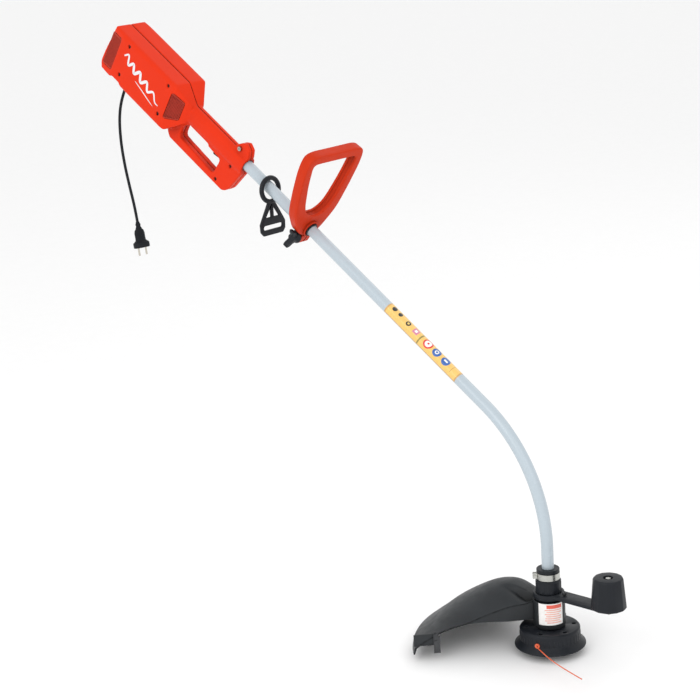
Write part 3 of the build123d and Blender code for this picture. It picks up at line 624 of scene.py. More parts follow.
def skin(rings: Sequence[Points], place: Matrix = STAYS, loop: bool = False) -> bpy.types.Mesh:
    """Skin a row of closed rings and cap its ends, unless the row closes on itself.

    Args:
        rings: The rings, all with as many points.
        place: Where the rings' own frame lies.
        loop: Whether the last ring joins the first.

    Returns:
        The mesh.
    """
    around = len(rings[0])
    faces = strips(len(rings), around, loop)
    if not loop:
        faces += [[start + j for j in range(around)] for start in (0, (len(rings) - 1) * around)]
    return mesh_of([p for ring in rings for p in ring], faces, place)


def turned(profile: Sequence[Pair], place: Matrix, segments: int = 96,
           radius_of: Callable[[float], float] = lambda angle: 1.0) -> bpy.types.Mesh:
    """Turn a closed outline of radius and height about the place's Z axis.

    Args:
        profile: The outline.
        place: The frame of the axis.
        segments: Facets round the axis.
        radius_of: Factor on the radius at an angle, for fluted forms.

    Returns:
        The mesh.
    """
    angles = [2 * math.pi * step / segments for step in range(segments)]
    rings = [[polar(r * radius_of(angle), angle, z) for r, z in profile] for angle in angles]
    return skin(rings, place, True)


def rounded(profile: Sequence[Pair], radius: float, steps: int = 3) -> list[Pair]:
    """Round every corner of a closed outline.

    Args:
        profile: The outline.
        radius: How far from a corner its rounding starts, at most.
        steps: Points in each rounding, less one.

    Returns:
        The rounded outline.
    """
    corners = [Vector(p) for p in profile]
    result = []
    for i, corner in enumerate(corners):
        before, after = corners[i - 1] - corner, corners[(i + 1) % len(corners)] - corner
        reach = min(radius, before.length * 0.45, after.length * 0.45)
        if reach < TINY:
            result.append(tuple(corner))
            continue
        a, b = corner + before.normalized() * reach, corner + after.normalized() * reach
        for t in (step / steps for step in range(steps + 1)):
            result.append(tuple(a * (1 - t) ** 2 + corner * 2 * t * (1 - t) + b * t * t))
    return result


def drawn_in(outline: Sequence[Pair], middle: Pair, reach: float) -> list[Pair]:
    """Draw every point of an outline towards a middle by the same reach."""
    centre = Vector(middle)
    return [tuple(p + (centre - p).normalized() * reach) for p in map(Vector, outline)]


def flowing(points: Sequence[Vector], per_span: int) -> Points:
    """Run a smooth closed curve through points.

    Args:
        points: The points it passes.
        per_span: New points from one to the next.

    Returns:
        The curve's points.
    """
    count = len(points)
    result = []
    for i in range(count):
        p0, p1, p2, p3 = (points[(i + k) % count] for k in (-1, 0, 1, 2))
        for t in (step / per_span for step in range(per_span)):
            result.append(0.5 * (2 * p1 + (p2 - p0) * t + (2 * p0 - 5 * p1 + 4 * p2 - p3) * t ** 2
                                 + (3 * p1 - p0 - 3 * p2 + p3) * t ** 3))
    return result


def softened(node: str, width: float, turn: float = 28.0) -> bpy.types.Mesh:
    """Copy a node's mesh and round its edges.

    Args:
        node: The node's name.
        width: Width of the rounding.
        turn: Turn, in degrees, from which an edge is rounded.

    Returns:
        The new mesh.
    """
    def join_flats(work: bmesh.types.BMesh) -> None:
        """Join faces that lie in one plane."""
        bmesh.ops.dissolve_limit(work, angle_limit=math.radians(1.0), verts=work.verts, edges=work.edges)

    def round_edges(work: bmesh.types.BMesh) -> None:
        """Bevel the edges that turn enough and cut up the large faces.

        Args:
            work: The mesh.
        """
        edges = [e for e in work.edges if len(e.link_faces) == 2
                 and e.calc_face_angle(0.0) > math.radians(turn) and e.calc_length() > width * 0.6]
        bmesh.ops.bevel(work, geom=edges, offset=width, segments=2, profile=0.5, affect="EDGES",
                        clamp_overlap=False)
        bmesh.ops.triangulate(work, faces=[f for f in work.faces if len(f.verts) > 4])

    return finish_mesh(edited(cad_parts[node].data.copy(), weld, join_flats, round_edges), 32.0)


def remoulded(node: str, place: Matrix, voxel: float, passes: int) -> bpy.types.Mesh:
    """Copy a node's mesh as an even mesh with softly rounded edges.

    Args:
        node: The node's name.
        place: The frame in which the node's flat faces lie square.
        voxel: Size of the new faces.
        passes: How often the new mesh is relaxed; more gives rounder edges.

    Returns:
        The new mesh.
    """
    def even_out(host: bpy.types.Object) -> None:
        """Remesh and relax.

        Args:
            host: The object that holds the mesh.
        """
        even = host.modifiers.new("even", "REMESH")
        even.mode = "VOXEL"
        even.voxel_size = voxel
        relax = host.modifiers.new("relax", "SMOOTH")
        relax.factor = 0.5
        relax.iterations = passes

    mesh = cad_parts[node].data.copy()
    mesh.transform(place.inverted())
    result = applied(edited(mesh, weld), even_out)
    result.transform(place)
    result.shade_smooth()
    return result


def rounded_bar(length: float, width: float, height: float, edge: float,
                taper: float = 1.0) -> bpy.types.Mesh:
    """Make a small bar with rounded edges, its middle at the origin.

    Args:
        length: Along X.
        width: Along Y.
        height: Along Z.
        edge: Rounding of its edges.
        taper: Size of its top as a share of its foot.

    Returns:
        The mesh.
    """
    x, y = length / 2, width / 2
    outline = rounded([(-x, -y), (x, -y), (x, y), (-x, y)], edge)
    rings = []
    lip = edge / height
    for share, shrink in ((-0.5, edge * 0.5), (-0.5 + lip, 0.0), (0.5 - lip, 0.0), (0.5, edge * 0.5)):
        size = 1 + (taper - 1) * (share + 0.5)
        scale_x, scale_y = size * (1 - 2 * shrink / length), size * (1 - 2 * shrink / width)
        rings.append([Vector((x * scale_x, y * scale_y, share * height)) for x, y in outline])
    return skin(rings)


def joined(*meshes: bpy.types.Mesh) -> bpy.types.Mesh:
    """Join meshes into one, with their materials kept.

    Args:
        *meshes: The meshes; they are used up.

    Returns:
        The joined mesh.
    """
    work = bmesh.new()
    result = bpy.data.meshes.new("joined")
    for mesh in meshes:
        first = len(work.faces)
        for material in mesh.materials:
            if material.name not in result.materials:
                result.materials.append(material)
        slots = [result.materials.find(material.name) for material in mesh.materials]
        work.from_mesh(mesh)
        work.faces.ensure_lookup_table()
        for face in work.faces[first:]:
            face.material_index = slots[face.material_index] if slots else 0
        bpy.data.meshes.remove(mesh)
    work.to_mesh(result)
    work.free()
    return finish_mesh(result)


def carved(mesh: bpy.types.Mesh, tool: bpy.types.Mesh) -> bpy.types.Mesh:
    """Cut one mesh out of another.

    Args:
        mesh: What is cut.
        tool: What is taken away.

    Returns:
        What is left.
    """
    cutter = placed("cutter", tool)

    def cut(host: bpy.types.Object) -> None:
        """Take the cutter away from the host.

        Args:
            host: The object that is cut.
        """
        modifier = host.modifiers.new("cut", "BOOLEAN")
        modifier.operation = "DIFFERENCE"
        modifier.solver = "EXACT"
        modifier.object = cutter

    result = applied(mesh, cut)
    bpy.data.objects.remove(cutter)
    return finish_mesh(result)


def sheet(rows: int, columns: int, spot: Callable[[int, int], tuple[Vector, Vector, Pair]],
          place: Matrix) -> bpy.types.Mesh:
    """Make a thin closed sheet, with its UV in metres.

    Args:
        rows: Steps along it.
        columns: Steps across it.
        spot: Gives the face's point, the back's point and the UV at a row and a column.
        place: Where the points' own frame lies.

    Returns:
        The sheet.
    """
    outer, inner, uvs = zip(*(spot(i, j) for i in range(rows + 1) for j in range(columns + 1)))
    width, count = columns + 1, len(outer)
    faces = strips(rows + 1, width, False, False)
    faces += [[i + count for i in reversed(f)] for f in faces]
    border = [*range(width), *[r * width + columns for r in range(1, rows + 1)],
              *[rows * width + c for c in range(columns - 1, -1, -1)],
              *[r * width for r in range(rows - 1, 0, -1)]]
    for a, b in zip(border, border[1:] + border[:1]):
        faces.append([a, b, b + count, a + count])
    mesh = bpy.data.meshes.new("sheet")
    mesh.from_pydata([tuple(place @ p) for p in outer + inner], [], faces)
    layer = mesh.uv_layers.new(name="label")
    for loop, uv in zip(mesh.loops, layer.data):
        uv.uv = uvs[loop.vertex_index % count]
    return finish_mesh(edited(mesh, face_out))


def smooth_table(table: Sequence[Pair], value: float) -> float:
    """Read a table of pairs with smooth steps between them.

    Args:
        table: Pairs of place and value, in order.
        value: The place.

    Returns:
        The value there.
    """
    if value <= table[0][0]:
        return table[0][1]
    for i, ((x1, y1), (x2, y2)) in enumerate(zip(table, table[1:])):
        if value <= x2:
            (x0, y0), (x3, y3) = table[max(i - 1, 0)], table[min(i + 2, len(table) - 1)]
            m1, m2 = (y2 - y0) / (x2 - x0), (y3 - y1) / (x3 - x1)
            span = x2 - x1
            t = (value - x1) / span
            return ((2 * t ** 3 - 3 * t ** 2 + 1) * y1 + (t ** 3 - 2 * t ** 2 + t) * span * m1
                    + (3 * t ** 2 - 2 * t ** 3) * y2 + (t ** 3 - t ** 2) * span * m2)
    return table[-1][1]


# ---------------------------------------------------------------- repeated parts
@dataclass(frozen=True)
class Repeated:
    """A part repeated round a ring or along a row by Geometry Nodes.

    Attributes:
        direction: Ring or row.
        count: How many.
        radius: Radius of the ring.
        step: Offset from one to the next along a row.
        start: Where the ring's middle or the row's first part lies.
    """

    direction: Direction
    count: int
    radius: float = 0.0
    step: tuple[float, float, float] = (0.0, 0.0, 0.0)
    start: tuple[float, float, float] = (0.0, 0.0, 0.0)

    def tree(self) -> bpy.types.NodeTree:
        """Build the node group with named inputs, or find it where it was built before."""
        name = f"repeat_{self.direction.value}"
        found = bpy.data.node_groups.get(name)
        if found is not None:
            return found
        tree = bpy.data.node_groups.new(name, "GeometryNodeTree")
        for label, kind in (("Geometry", "Geometry"), ("Count", "Int"), ("Radius", "Float"),
                            ("Step", "Vector"), ("Start", "Vector"), ("Finish", "Material")):
            tree.interface.new_socket(label, in_out="INPUT", socket_type=f"NodeSocket{kind}")
        tree.interface.new_socket("Geometry", in_out="OUTPUT", socket_type="NodeSocketGeometry")
        given = add_node(tree, "NodeGroupInput").outputs
        turned_by = {}
        if self.direction is Direction.RING:
            points = add_node(tree, "GeometryNodeMeshCircle",
                              {"Vertices": given["Count"], "Radius": given["Radius"]})
            index = add_node(tree, "GeometryNodeInputIndex").outputs[0]
            turn = math_node(tree, "MULTIPLY", math_node(tree, "DIVIDE", index, given["Count"]), 2 * math.pi)
            angles = add_node(tree, "ShaderNodeCombineXYZ", {"Z": turn}).outputs[0]
            turned_by["Rotation"] = add_node(tree, "FunctionNodeEulerToRotation", {0: angles}).outputs[0]
        else:
            points = add_node(tree, "GeometryNodeMeshLine",
                              {"Count": given["Count"], "Offset": given["Step"]}, mode="OFFSET")
        moved = add_node(tree, "GeometryNodeTransform", {"Geometry": points.outputs["Mesh"],
                                                         "Translation": given["Start"]})
        copies = add_node(tree, "GeometryNodeInstanceOnPoints", {
            "Points": moved.outputs["Geometry"], "Instance": given["Geometry"], **turned_by})
        real = add_node(tree, "GeometryNodeRealizeInstances", {"Geometry": copies.outputs["Instances"]})
        dress = add_node(tree, "GeometryNodeSetMaterial", {"Geometry": real.outputs["Geometry"],
                                                           "Material": given["Finish"]})
        add_node(tree, "NodeGroupOutput", {"Geometry": dress.outputs["Geometry"]})
        return tree

    def mesh(self, part: bpy.types.Mesh, finish: Moulded, place: Matrix) -> bpy.types.Mesh:
        """Repeat a part and turn the result into a plain mesh.

        Args:
            part: The part, drawn at the origin.
            finish: What every copy wears.
            place: Where the layout's own frame lies.

        Returns:
            The mesh of all copies.
        """
        values = {"Count": self.count, "Radius": self.radius, "Step": self.step, "Start": self.start,
                  "Finish": finish.material()}

        def lay_out(host: bpy.types.Object) -> None:
            """Add the node group and set its inputs.

            Args:
                host: The object that holds the part.
            """
            modifier = host.modifiers.new("repeat", "NODES")
            modifier.node_group = self.tree()
            for socket in modifier.node_group.interface.items_tree:
                if socket.in_out == "INPUT" and socket.name in values:
                    modifier[socket.identifier] = values[socket.name]

        mesh = dressed(applied(part, lay_out), finish)
        mesh.polygons.foreach_set("material_index", [0] * len(mesh.polygons))
        mesh.transform(place)
        return finish_mesh(mesh)


def ribbed(body: bpy.types.Mesh, finish: Moulded, rib: bpy.types.Mesh, ribs: Repeated) -> bpy.types.Mesh:
    """Set ribs on a body of the head and dress both alike."""
    return joined(dressed(body, finish), ribs.mesh(rib, finish, HEAD))


# ---------------------------------------------------------------- stage and camera
@dataclass
class Studio:
    """Floor, lights and camera.

    Attributes:
        floor_gap: Room between the lowest point and the floor.
        floor_reach: Half the floor's side.
        aim: What the camera looks at.
        azimuth: The camera's turn round the object.
        elevation: Its height above the horizon.
        distance: How far it stands away.
        roll: Its turn about its own line of sight.
        lens: Its focal length.
    """

    floor_gap: float = 0.001
    floor_reach: float = 14.0
    aim: tuple[float, float, float] = (0.394, 0.0, -0.470)
    azimuth: float = 0.7603
    elevation: float = 0.2660
    distance: float = 4.437
    roll: float = -0.0603
    lens: float = 102.1

    def build(self) -> None:
        """Make the camera, the lights and the floor."""
        self.camera()
        self.light("key_light", (1.2, -3.9, 1.5), 2.4, 40.0)
        self.light("fill_light", (3.8, -1.6, 1.4), 2.4, 16.0)
        self.light("rim_light", (0.5, 3.2, 2.6), 2.6, 14.0)
        self.floor()

    def camera(self) -> None:
        """Place the camera."""
        az, el = self.azimuth, self.elevation
        right = Vector((math.cos(az), math.sin(az), 0.0))
        up = Vector((-math.sin(el) * math.sin(az), math.sin(el) * math.cos(az), math.cos(el)))
        back = Vector((math.sin(az) * math.cos(el), -math.cos(az) * math.cos(el), math.sin(el)))
        x = right * math.cos(self.roll) + up * math.sin(self.roll)
        y = up * math.cos(self.roll) - right * math.sin(self.roll)
        data = bpy.data.cameras.new("camera")
        data.lens = self.lens
        data.sensor_width = 36.0
        data.clip_end = 60.0
        place = Matrix((x, y, back)).transposed().to_4x4()
        place.translation = Vector(self.aim) + back * self.distance
        camera = placed("camera", data)
        camera.matrix_world = place
        bpy.context.scene.camera = camera

    def light(self, name: str, spot: tuple[float, float, float], size: float, power: float) -> None:
        """Add a large soft lamp that faces the object.

        Args:
            name: The lamp's name.
            spot: Where it stands.
            size: Its side.
            power: Its power in watts.
        """
        data = bpy.data.lights.new(name, "AREA")
        data.shape = "SQUARE"
        data.size = size
        data.energy = power
        lamp = placed(name, data)
        lamp.location = spot
        lamp.rotation_mode = "QUATERNION"
        lamp.rotation_quaternion = (Vector(self.aim) - Vector(spot)).to_track_quat("-Z", "Y")

    def floor(self) -> None:
        """Lay the floor and light the sky."""
        world = bpy.data.worlds.new("sky")
        bpy.context.scene.world = world
        world.use_nodes = True
        feed(world.node_tree.nodes["Background"], {"Color": (1.0, 1.0, 1.0, 1.0), "Strength": 0.95})
        bpy.context.scene.view_settings.view_transform = "Standard"
        height, reach = CAD_BOX[0].z - self.floor_gap, self.floor_reach
        corners = [Vector((x, y, height)) for x, y in ((-reach, -reach), (reach, -reach), (reach, reach),
                                                       (-reach, reach))]
        placed("floor", dressed(mesh_of(corners, [[0, 1, 2, 3]]), FLOOR_PAPER))


# ---------------------------------------------------------------- cords
@dataclass
class Cords:
    """The supply lead with its relief, and the two ends of cutting line.

    Attributes:
        lead_width: Diameter of the lead.
        line_width: Diameter of the cutting line.
        gland_along: Place of the gland along the shaft, forward of the grip.
        gland_drop: Depth of the gland's tip under the shaft's line.
        plug_yaw: Turn of the plug's wide side about the vertical.
    """

    lead_width: float = 0.007
    line_width: float = 0.0024
    gland_along: float = -0.289
    gland_drop: float = -0.091
    plug_yaw: float = math.radians(-17.0)

    def curve(self, name: str, route: Sequence[Vector], width: float) -> bpy.types.Curve:
        """Make a round cord along a route.

        Args:
            name: The piece's name.
            route: Its control points.
            width: Its diameter.

        Returns:
            The curve.
        """
        data = bpy.data.curves.new(name, "CURVE")
        data.dimensions = "3D"
        data.bevel_depth = width / 2
        data.bevel_resolution = 6
        data.use_fill_caps = True
        spline = data.splines.new("NURBS")
        spline.points.add(len(route) - 1)
        for point, place in zip(spline.points, route):
            point.co = (*place, 1.0)
        spline.order_u = 3
        spline.use_endpoint_u = True
        spline.resolution_u = 16
        return data

    def build(self) -> None:
        """Make the lead, its relief and both lines."""
        tip = SHAFT @ Vector((self.gland_along, 0.0, self.gland_drop))
        hang = ((-0.310, 0.05957), (-0.326, 0.012), (-0.3285, -0.046), (-0.322, -0.104), (-0.310, -0.160),
                (-0.298, -0.208), (-0.293, -0.244))
        route = [tip, *(Vector((x, 0.0, z)) for x, z in hang)]
        lead = file_piece("supply_lead", self.curve("supply_lead", route, self.lead_width), CORD_RUBBER,
                          Body.ROOT, ["power_cord"])
        self.relief()
        self.plug(route)
        self.lines()

    def relief(self) -> None:
        """Make the tapered relief with its rings."""
        outline = [(0.0036, 0.0), (0.0045, 0.0)]
        for step in range(5):
            foot = 0.0024 + step * 0.0044
            radius = 0.0046 + step * 0.00024
            outline += [(radius, foot), (radius + 0.0001, foot + 0.0026), (radius - 0.0007, foot + 0.0029),
                        (radius - 0.0007, foot + 0.0040)]
        outline += [(0.0059, 0.0246), (0.0059, 0.0358), (0.0084, 0.0358), (0.0084, 0.0365), (0.0036, 0.0365)]
        body = turned(rounded(outline, 0.0004, 2), on_shaft(self.gland_along, self.gland_drop), 40)
        file_piece("cord_relief", body, CORD_RUBBER, Body.ROOT, ["cord_gland"])

    def plug(self, route: Sequence[Vector]) -> bpy.types.Object:
        """Make the moulded plug body at the lead's end.

        Args:
            route: The lead's control points.

        Returns:
            The plug.
        """
        run = (route[-1] - route[-2]).normalized()
        across = Vector((-math.sin(self.plug_yaw), math.cos(self.plug_yaw), 0.0))
        across = (across - run * across.dot(run)).normalized()
        place = Matrix((across, run.cross(across), run)).transposed().to_4x4()
        place.translation = route[-1]
        neck = [(0.0, 0.0046, 0.0046), (0.004, 0.0052, 0.0050), (0.0045, 0.0062, 0.0058),
                (0.0085, 0.0064, 0.0060), (0.009, 0.0056, 0.0054), (0.013, 0.0062, 0.0058),
                (0.0135, 0.0072, 0.0064), (0.017, 0.0080, 0.0067)]
        block = [(0.021, 0.0112, 0.0072), (0.028, 0.0128, 0.0075), (0.038, 0.0126, 0.0072),
                 (0.045, 0.0130, 0.0075), (0.0485, 0.0165, 0.0100), (0.0505, 0.0192, 0.0130),
                 (0.0520, 0.0199, 0.0134), (0.0620, 0.0199, 0.0134), (0.0630, 0.0190, 0.0125)]
        rings = []
        for stations, power in ((neck, 1.0), (block, 0.72)):
            for z, a, b in stations:
                ring = [polar(1.0, 2 * math.pi * step / 48) for step in range(48)]
                rings.append([Vector((a * math.copysign(abs(p.x) ** power, p.x),
                                      b * math.copysign(abs(p.y) ** power, p.y), z)) for p in ring])
        return file_piece("plug_moulding", skin(rings, place), CORD_RUBBER, Body.ROOT, ["plug_body"])

    def lines(self) -> None:
        """Make the two free ends of cutting line."""
        route = [Vector(p) for p in ((0.0156, -0.0674, 0.0), (0.036, -0.080, 0.0003), (0.075, -0.101, 0.0),
                                     (0.128, -0.122, -0.0008), (0.184, -0.138, -0.002))]
        for side, turn in (("near", 0.0), ("far", math.pi)):
            place = HEAD @ Matrix.Rotation(turn, 4, "Z")
            points = [place @ p for p in route]
            name = f"line_end_{side}"
            end = file_piece(name, self.curve(name, points, self.line_width), ORANGE_LINE, Body.HEAD,
                             [f"cutting_line_{side}"])


# ---------------------------------------------------------------- motor housing
@dataclass
class MotorHousing:
    """The orange housing shells, their vent meshes, the printed mark and the trigger.

    Attributes:
        half_width: Half the width of the motor end.
        grain: Size of the shells' faces.
        relaxed: Passes that round the shells' edges.
        mesh_pitch: Distance between bars of the vent mesh.
        mesh_bar: Thickness of a bar.
        trigger_edge: Depth from which the trigger's edge is drawn out.
        trigger_reach: How far it is drawn out.
    """

    half_width: float = 0.050
    grain: float = 0.00168
    relaxed: int = 18
    mesh_pitch: float = 0.0034
    mesh_bar: float = 0.0013
    trigger_edge: float = 0.034
    trigger_reach: float = 0.0035

    def build(self) -> None:
        """Make every piece of the housing."""
        for side in ("near", "far"):
            shell = remoulded(f"housing_{side}", SHAFT, self.grain, self.relaxed)
            file_piece(f"shell_{side}", shell, ORANGE_SHELL, Body.ROOT, [f"housing_{side}"])
        self.vents()
        self.mark()
        lever = softened("trigger", 0.0012)
        lever.transform(SHAFT.inverted())
        for vertex in lever.vertices:
            if vertex.co.z < -self.trigger_edge:
                vertex.co.z -= self.trigger_reach
        lever.transform(SHAFT)
        file_piece("trigger_lever", lever, BLACK_GRIP, Body.TRIGGER, ["trigger"])

    def vents(self) -> None:
        """Fill the four windows with a fine moulded mesh over a sheet of painted shade."""
        windows = {"front": ((-0.113, -0.050), (-0.064, -0.019), [(3, -41), (3, 31), (38, 20), (38, -29)]),
                   "rear": ((-0.357, -0.042), (-0.305, -0.050), [(11, -56), (11, 33), (46, 36), (46, -51)])}
        for end, (first, last, corners) in windows.items():
            run = Vector((last[0] - first[0], last[1] - first[1], 0.0)).normalized()
            plane = Matrix((run, Vector((0.0, 0.0, 1.0)), Vector((run.y, -run.x, 0.0)))).transposed().to_4x4()
            plane.translation = Vector((*first, 0.0))
            outline = [Vector((x / 1000, z / 1000)) for x, z in corners]
            panels = [self.mesh_panel(outline, SHAFT @ Matrix.Diagonal((1.0, side, 1.0, 1.0)) @ plane)
                      for side in (1, -1)]
            file_piece(f"{end}_vent_mesh", joined(*panels), None, Body.ROOT, [f"{end}_vents"])

    def mesh_panel(self, outline: Sequence[Vector], place: Matrix) -> bpy.types.Mesh:
        """Make one framed mesh.

        Args:
            outline: Corners of the window in its own plane: near foot, near top, far top, far foot.
            place: The window's plane.

        Returns:
            The mesh of bars, frame and a dark sheet of painted shade behind them.
        """
        foot, top, far_top, far_foot = outline
        width, thick, pitch = far_top.x - foot.x, self.mesh_bar, self.mesh_pitch
        bars = []
        count = int(width / pitch)
        for step in range(1, count):
            low, high = foot.lerp(far_foot, step / count), top.lerp(far_top, step / count)
            bar = rounded_bar(thick, high.y - low.y, thick, thick * 0.3)
            bar.transform(place @ Matrix.Translation((low.x, (low.y + high.y) / 2, -0.0012)))
            bars.append(bar)
        low, high = (choose(p.y for p in outline) for choose in (min, max))
        inside = [k for k in range(int((high - low) / pitch))
                  if max(foot.y, far_foot.y) < low + k * pitch < min(top.y, far_top.y)]
        layout = Repeated(Direction.ROW, len(inside), step=(0.0, pitch, 0.0),
                          start=((foot.x + far_top.x) / 2, low + inside[0] * pitch, -0.0015))
        bars.append(layout.mesh(rounded_bar(width, thick, thick, thick * 0.3), MESH_RED, place))
        middle = sum(outline, Vector((0.0, 0.0))) / 4
        edge = rounded([tuple(p) for p in outline], 0.003, 4)
        inner = rounded([tuple(middle + (p - middle) * 0.93) for p in outline], 0.0026, 4)

        def ring(points: Sequence[Pair], depth: float) -> Points:
            """Lay a loop at a depth under the window's plane."""
            return [Vector((*p, -depth)) for p in points]

        bars.append(skin([ring(edge, 0.0019), ring(edge, 0.0003), ring(inner, 0.0003), ring(inner, 0.0019)],
                         place, True))
        # Painted shade: a dark sheet, a darker copy of the mesh red, closes the window behind the bars where
        # the housing's inside would lie in shade.
        painted_shade_backing = dressed(skin([ring(edge, 0.0019), ring(edge, 0.0021)], place), VENT_PAINTED_SHADE)
        return tidy_mesh(joined(*(dressed(bar, MESH_RED) for bar in bars), painted_shade_backing))

    def mark(self) -> None:
        """Print a plain white flourish on the near side."""
        strokes = [([(-0.284, 0.010), (-0.271, 0.020), (-0.263, -0.002), (-0.248, 0.011), (-0.238, -0.008),
                     (-0.221, 0.007), (-0.210, -0.013), (-0.192, 0.001), (-0.181, -0.018), (-0.163, -0.007),
                     (-0.149, -0.024), (-0.136, -0.026)], 0.0038),
                   ([(-0.226, -0.022), (-0.200, -0.027), (-0.174, -0.033), (-0.150, -0.038)], 0.0013)]
        file_piece("shell_mark", joined(*(self.stroke(*stroke) for stroke in strokes)), WHITE_INK, Body.ROOT)

    def stroke(self, corners: Sequence[Pair], width: float) -> bpy.types.Mesh:
        """Make one stroke of the mark, thin at both ends.

        Args:
            corners: Where it runs, along and above the shaft.
            width: Half its greatest width.

        Returns:
            The stroke, a thin slab on the housing's side.
        """
        flat = [Vector((x, 0.0, z)) for x, z in corners]
        spans = 10
        spine = flowing([flat[0] * 2 - flat[1], *flat, flat[-1] * 2 - flat[-2]], spans)
        spine = spine[spans:spans * len(flat) + 1]
        last = len(spine) - 1
        left, right = [], []
        for i, point in enumerate(spine):
            run = spine[min(i + 1, last)] - spine[max(i - 1, 0)]
            half = width * math.sin(math.pi * min(1.0, i / last * 0.9 + 0.08)) ** 0.6
            side = run.cross(Vector((0.0, 1.0, 0.0))).normalized() * half
            left.append(point + side)
            right.append(point - side)
        around = 2 * len(spine)
        points = [p + Vector((0.0, -self.half_width - depth, 0.0)) for depth in (0.00018, -0.0002)
                  for p in left + right[::-1]]
        faces = strips(2, around, False)
        for base in (0, around):
            faces += [[base + i, base + i + 1, base + around - 2 - i, base + around - 1 - i]
                      for i in range(last)]
        return mesh_of(points, faces, SHAFT)


# ---------------------------------------------------------------- front handle
@dataclass
class FrontHandle:
    """The loop handle, its clamp and its wing knob.

    Attributes:
        along: Place of the clamp along the shaft.
        depth: Depth of the loop's bar.
        lean: Lean of the loop towards the motor.
        bore: Radius of the hole for the bush.
        bolt: Depth of the clamp bolt under the shaft's middle.
    """

    along: float = 0.344
    depth: float = 0.0125
    lean: float = math.radians(4.3)
    bore: float = 0.01566
    bolt: float = 0.030

    def build(self) -> None:
        """Make the handle and the knob."""
        file_piece("loop_handle", joined(self.loop(), self.clamp()), ORANGE_HANDLE, Body.HANDLE,
                   ["front_handle"])
        file_piece("clamp_knob", self.knob(), BLACK_PLASTIC, Body.KNOB, ["wing_knob"])

    def axis(self) -> Matrix:
        """Find the frame at the clamp with its Z axis along the shaft."""
        return on_shaft(self.along) @ Matrix.Rotation(QUARTER, 4, "Y")

    def loop(self) -> bpy.types.Mesh:
        """Skin the loop's bar between its outer and inner edge."""
        outer = [(0, -20), (28, -11), (49, 15), (66, 45), (77, 88), (84, 128), (88, 160), (87, 186),
                 (80, 200), (61, 205.6), (30, 206)]
        inner = [(0, 35), (15, 37), (33, 50), (44, 70), (53, 100), (60.5, 130), (65, 157), (67, 175),
                 (61.5, 183), (48, 184.5), (25, 184.6)]
        edges = []
        for half in (outer, inner):
            full = half + [(0, half[-1][1])] + [(-x, z) for x, z in reversed(half[1:])]
            edges.append(flowing([Vector((0.0, x / 1000, z / 1000)) for x, z in full], 7))
        near = [(0.0030, 0.0), (0.0030, 0.30), (0.0022, 0.40), (0.0004, 0.46), (0.0, 0.56), (0.0, 0.80),
                (0.0008, 0.93), (0.0022, 0.985), (0.0044, 1.0)]
        far = [(-0.0052, 1.0), (-0.0026, 0.97), (-0.0009, 0.89), (-0.0001, 0.72), (0.0, 0.35), (0.0, 0.0)]
        section = [(0, *step) for step in near] + [(1, *step) for step in far]
        section += [(side, offset, -depth) for side, offset, depth in reversed(section[1:-1])]
        rings = []
        for ends in zip(*reversed(edges)):
            across = (ends[1] - ends[0]).normalized()
            rings.append([ends[side] + across * offset + Vector((depth * self.depth, 0.0, 0.0))
                          for side, offset, depth in section])
        mesh = skin(rings, on_shaft(self.along) @ Matrix.Rotation(-self.lean, 4, "Y"), True)
        hole = [(0.0001, -0.06), (self.bore, -0.06), (self.bore, 0.06), (0.0001, 0.06)]
        return carved(mesh, turned(hole, self.axis(), 64))

    def knob(self) -> bpy.types.Mesh:
        """Make the hub and the two wings of the knob, its axis across the shaft."""
        place = on_shaft(self.along, -self.bolt) @ Matrix.Rotation(QUARTER, 4, "X")
        profile = [(0.0031, 0.0155), (0.0135, 0.0155), (0.0150, 0.0170), (0.0150, 0.0200), (0.0105, 0.0250),
                   (0.0095, 0.0300), (0.0095, 0.0340), (0.0001, 0.0350), (0.0001, 0.0245), (0.0031, 0.0245)]
        wing = rounded([(0.0, 0.018), (0.0100, 0.0215), (0.0150, 0.0285), (0.0215, 0.0350), (0.0235, 0.0440),
                        (0.0150, 0.0425), (0.0060, 0.0345), (0.0, 0.0335)], 0.0028, 4)
        parts = [turned(rounded(profile, 0.001, 2), place, 64)]
        for side in (-1, 1):
            rings = [[Vector((across, side * x, z)) for x, z in drawn_in(wing, (0.012, 0.031), shrink)]
                     for across, shrink in ((-0.0068, 0.0014), (-0.0054, 0.0), (0.0054, 0.0),
                                            (0.0068, 0.0014))]
            parts.append(skin(rings, place))
        return joined(*parts)

    def clamp(self) -> bpy.types.Mesh:
        """Make the sleeve and the two ears that the bolt pulls together."""
        sleeve = [(self.bore, -0.0168), (0.0206, -0.0168), (0.0206, 0.0168), (self.bore, 0.0168)]
        ear = rounded([(-0.013, -0.0162), (0.015, -0.0162), (0.0105, -0.043), (0.0, -0.0468),
                       (-0.0092, -0.040)], 0.006, 5)
        parts = [turned(rounded(sleeve, 0.0018), self.axis(), 72)]
        for side in (-1, 1):
            rings = [[Vector((x, side * depth, z)) for x, z in drawn_in(ear, (0.001, -0.028), shrink)]
                     for depth, shrink in ((0.0016, 0.0), (0.0136, 0.0), (0.0149, 0.0013))]
            parts.append(skin(rings, on_shaft(self.along)))
        return joined(*parts)


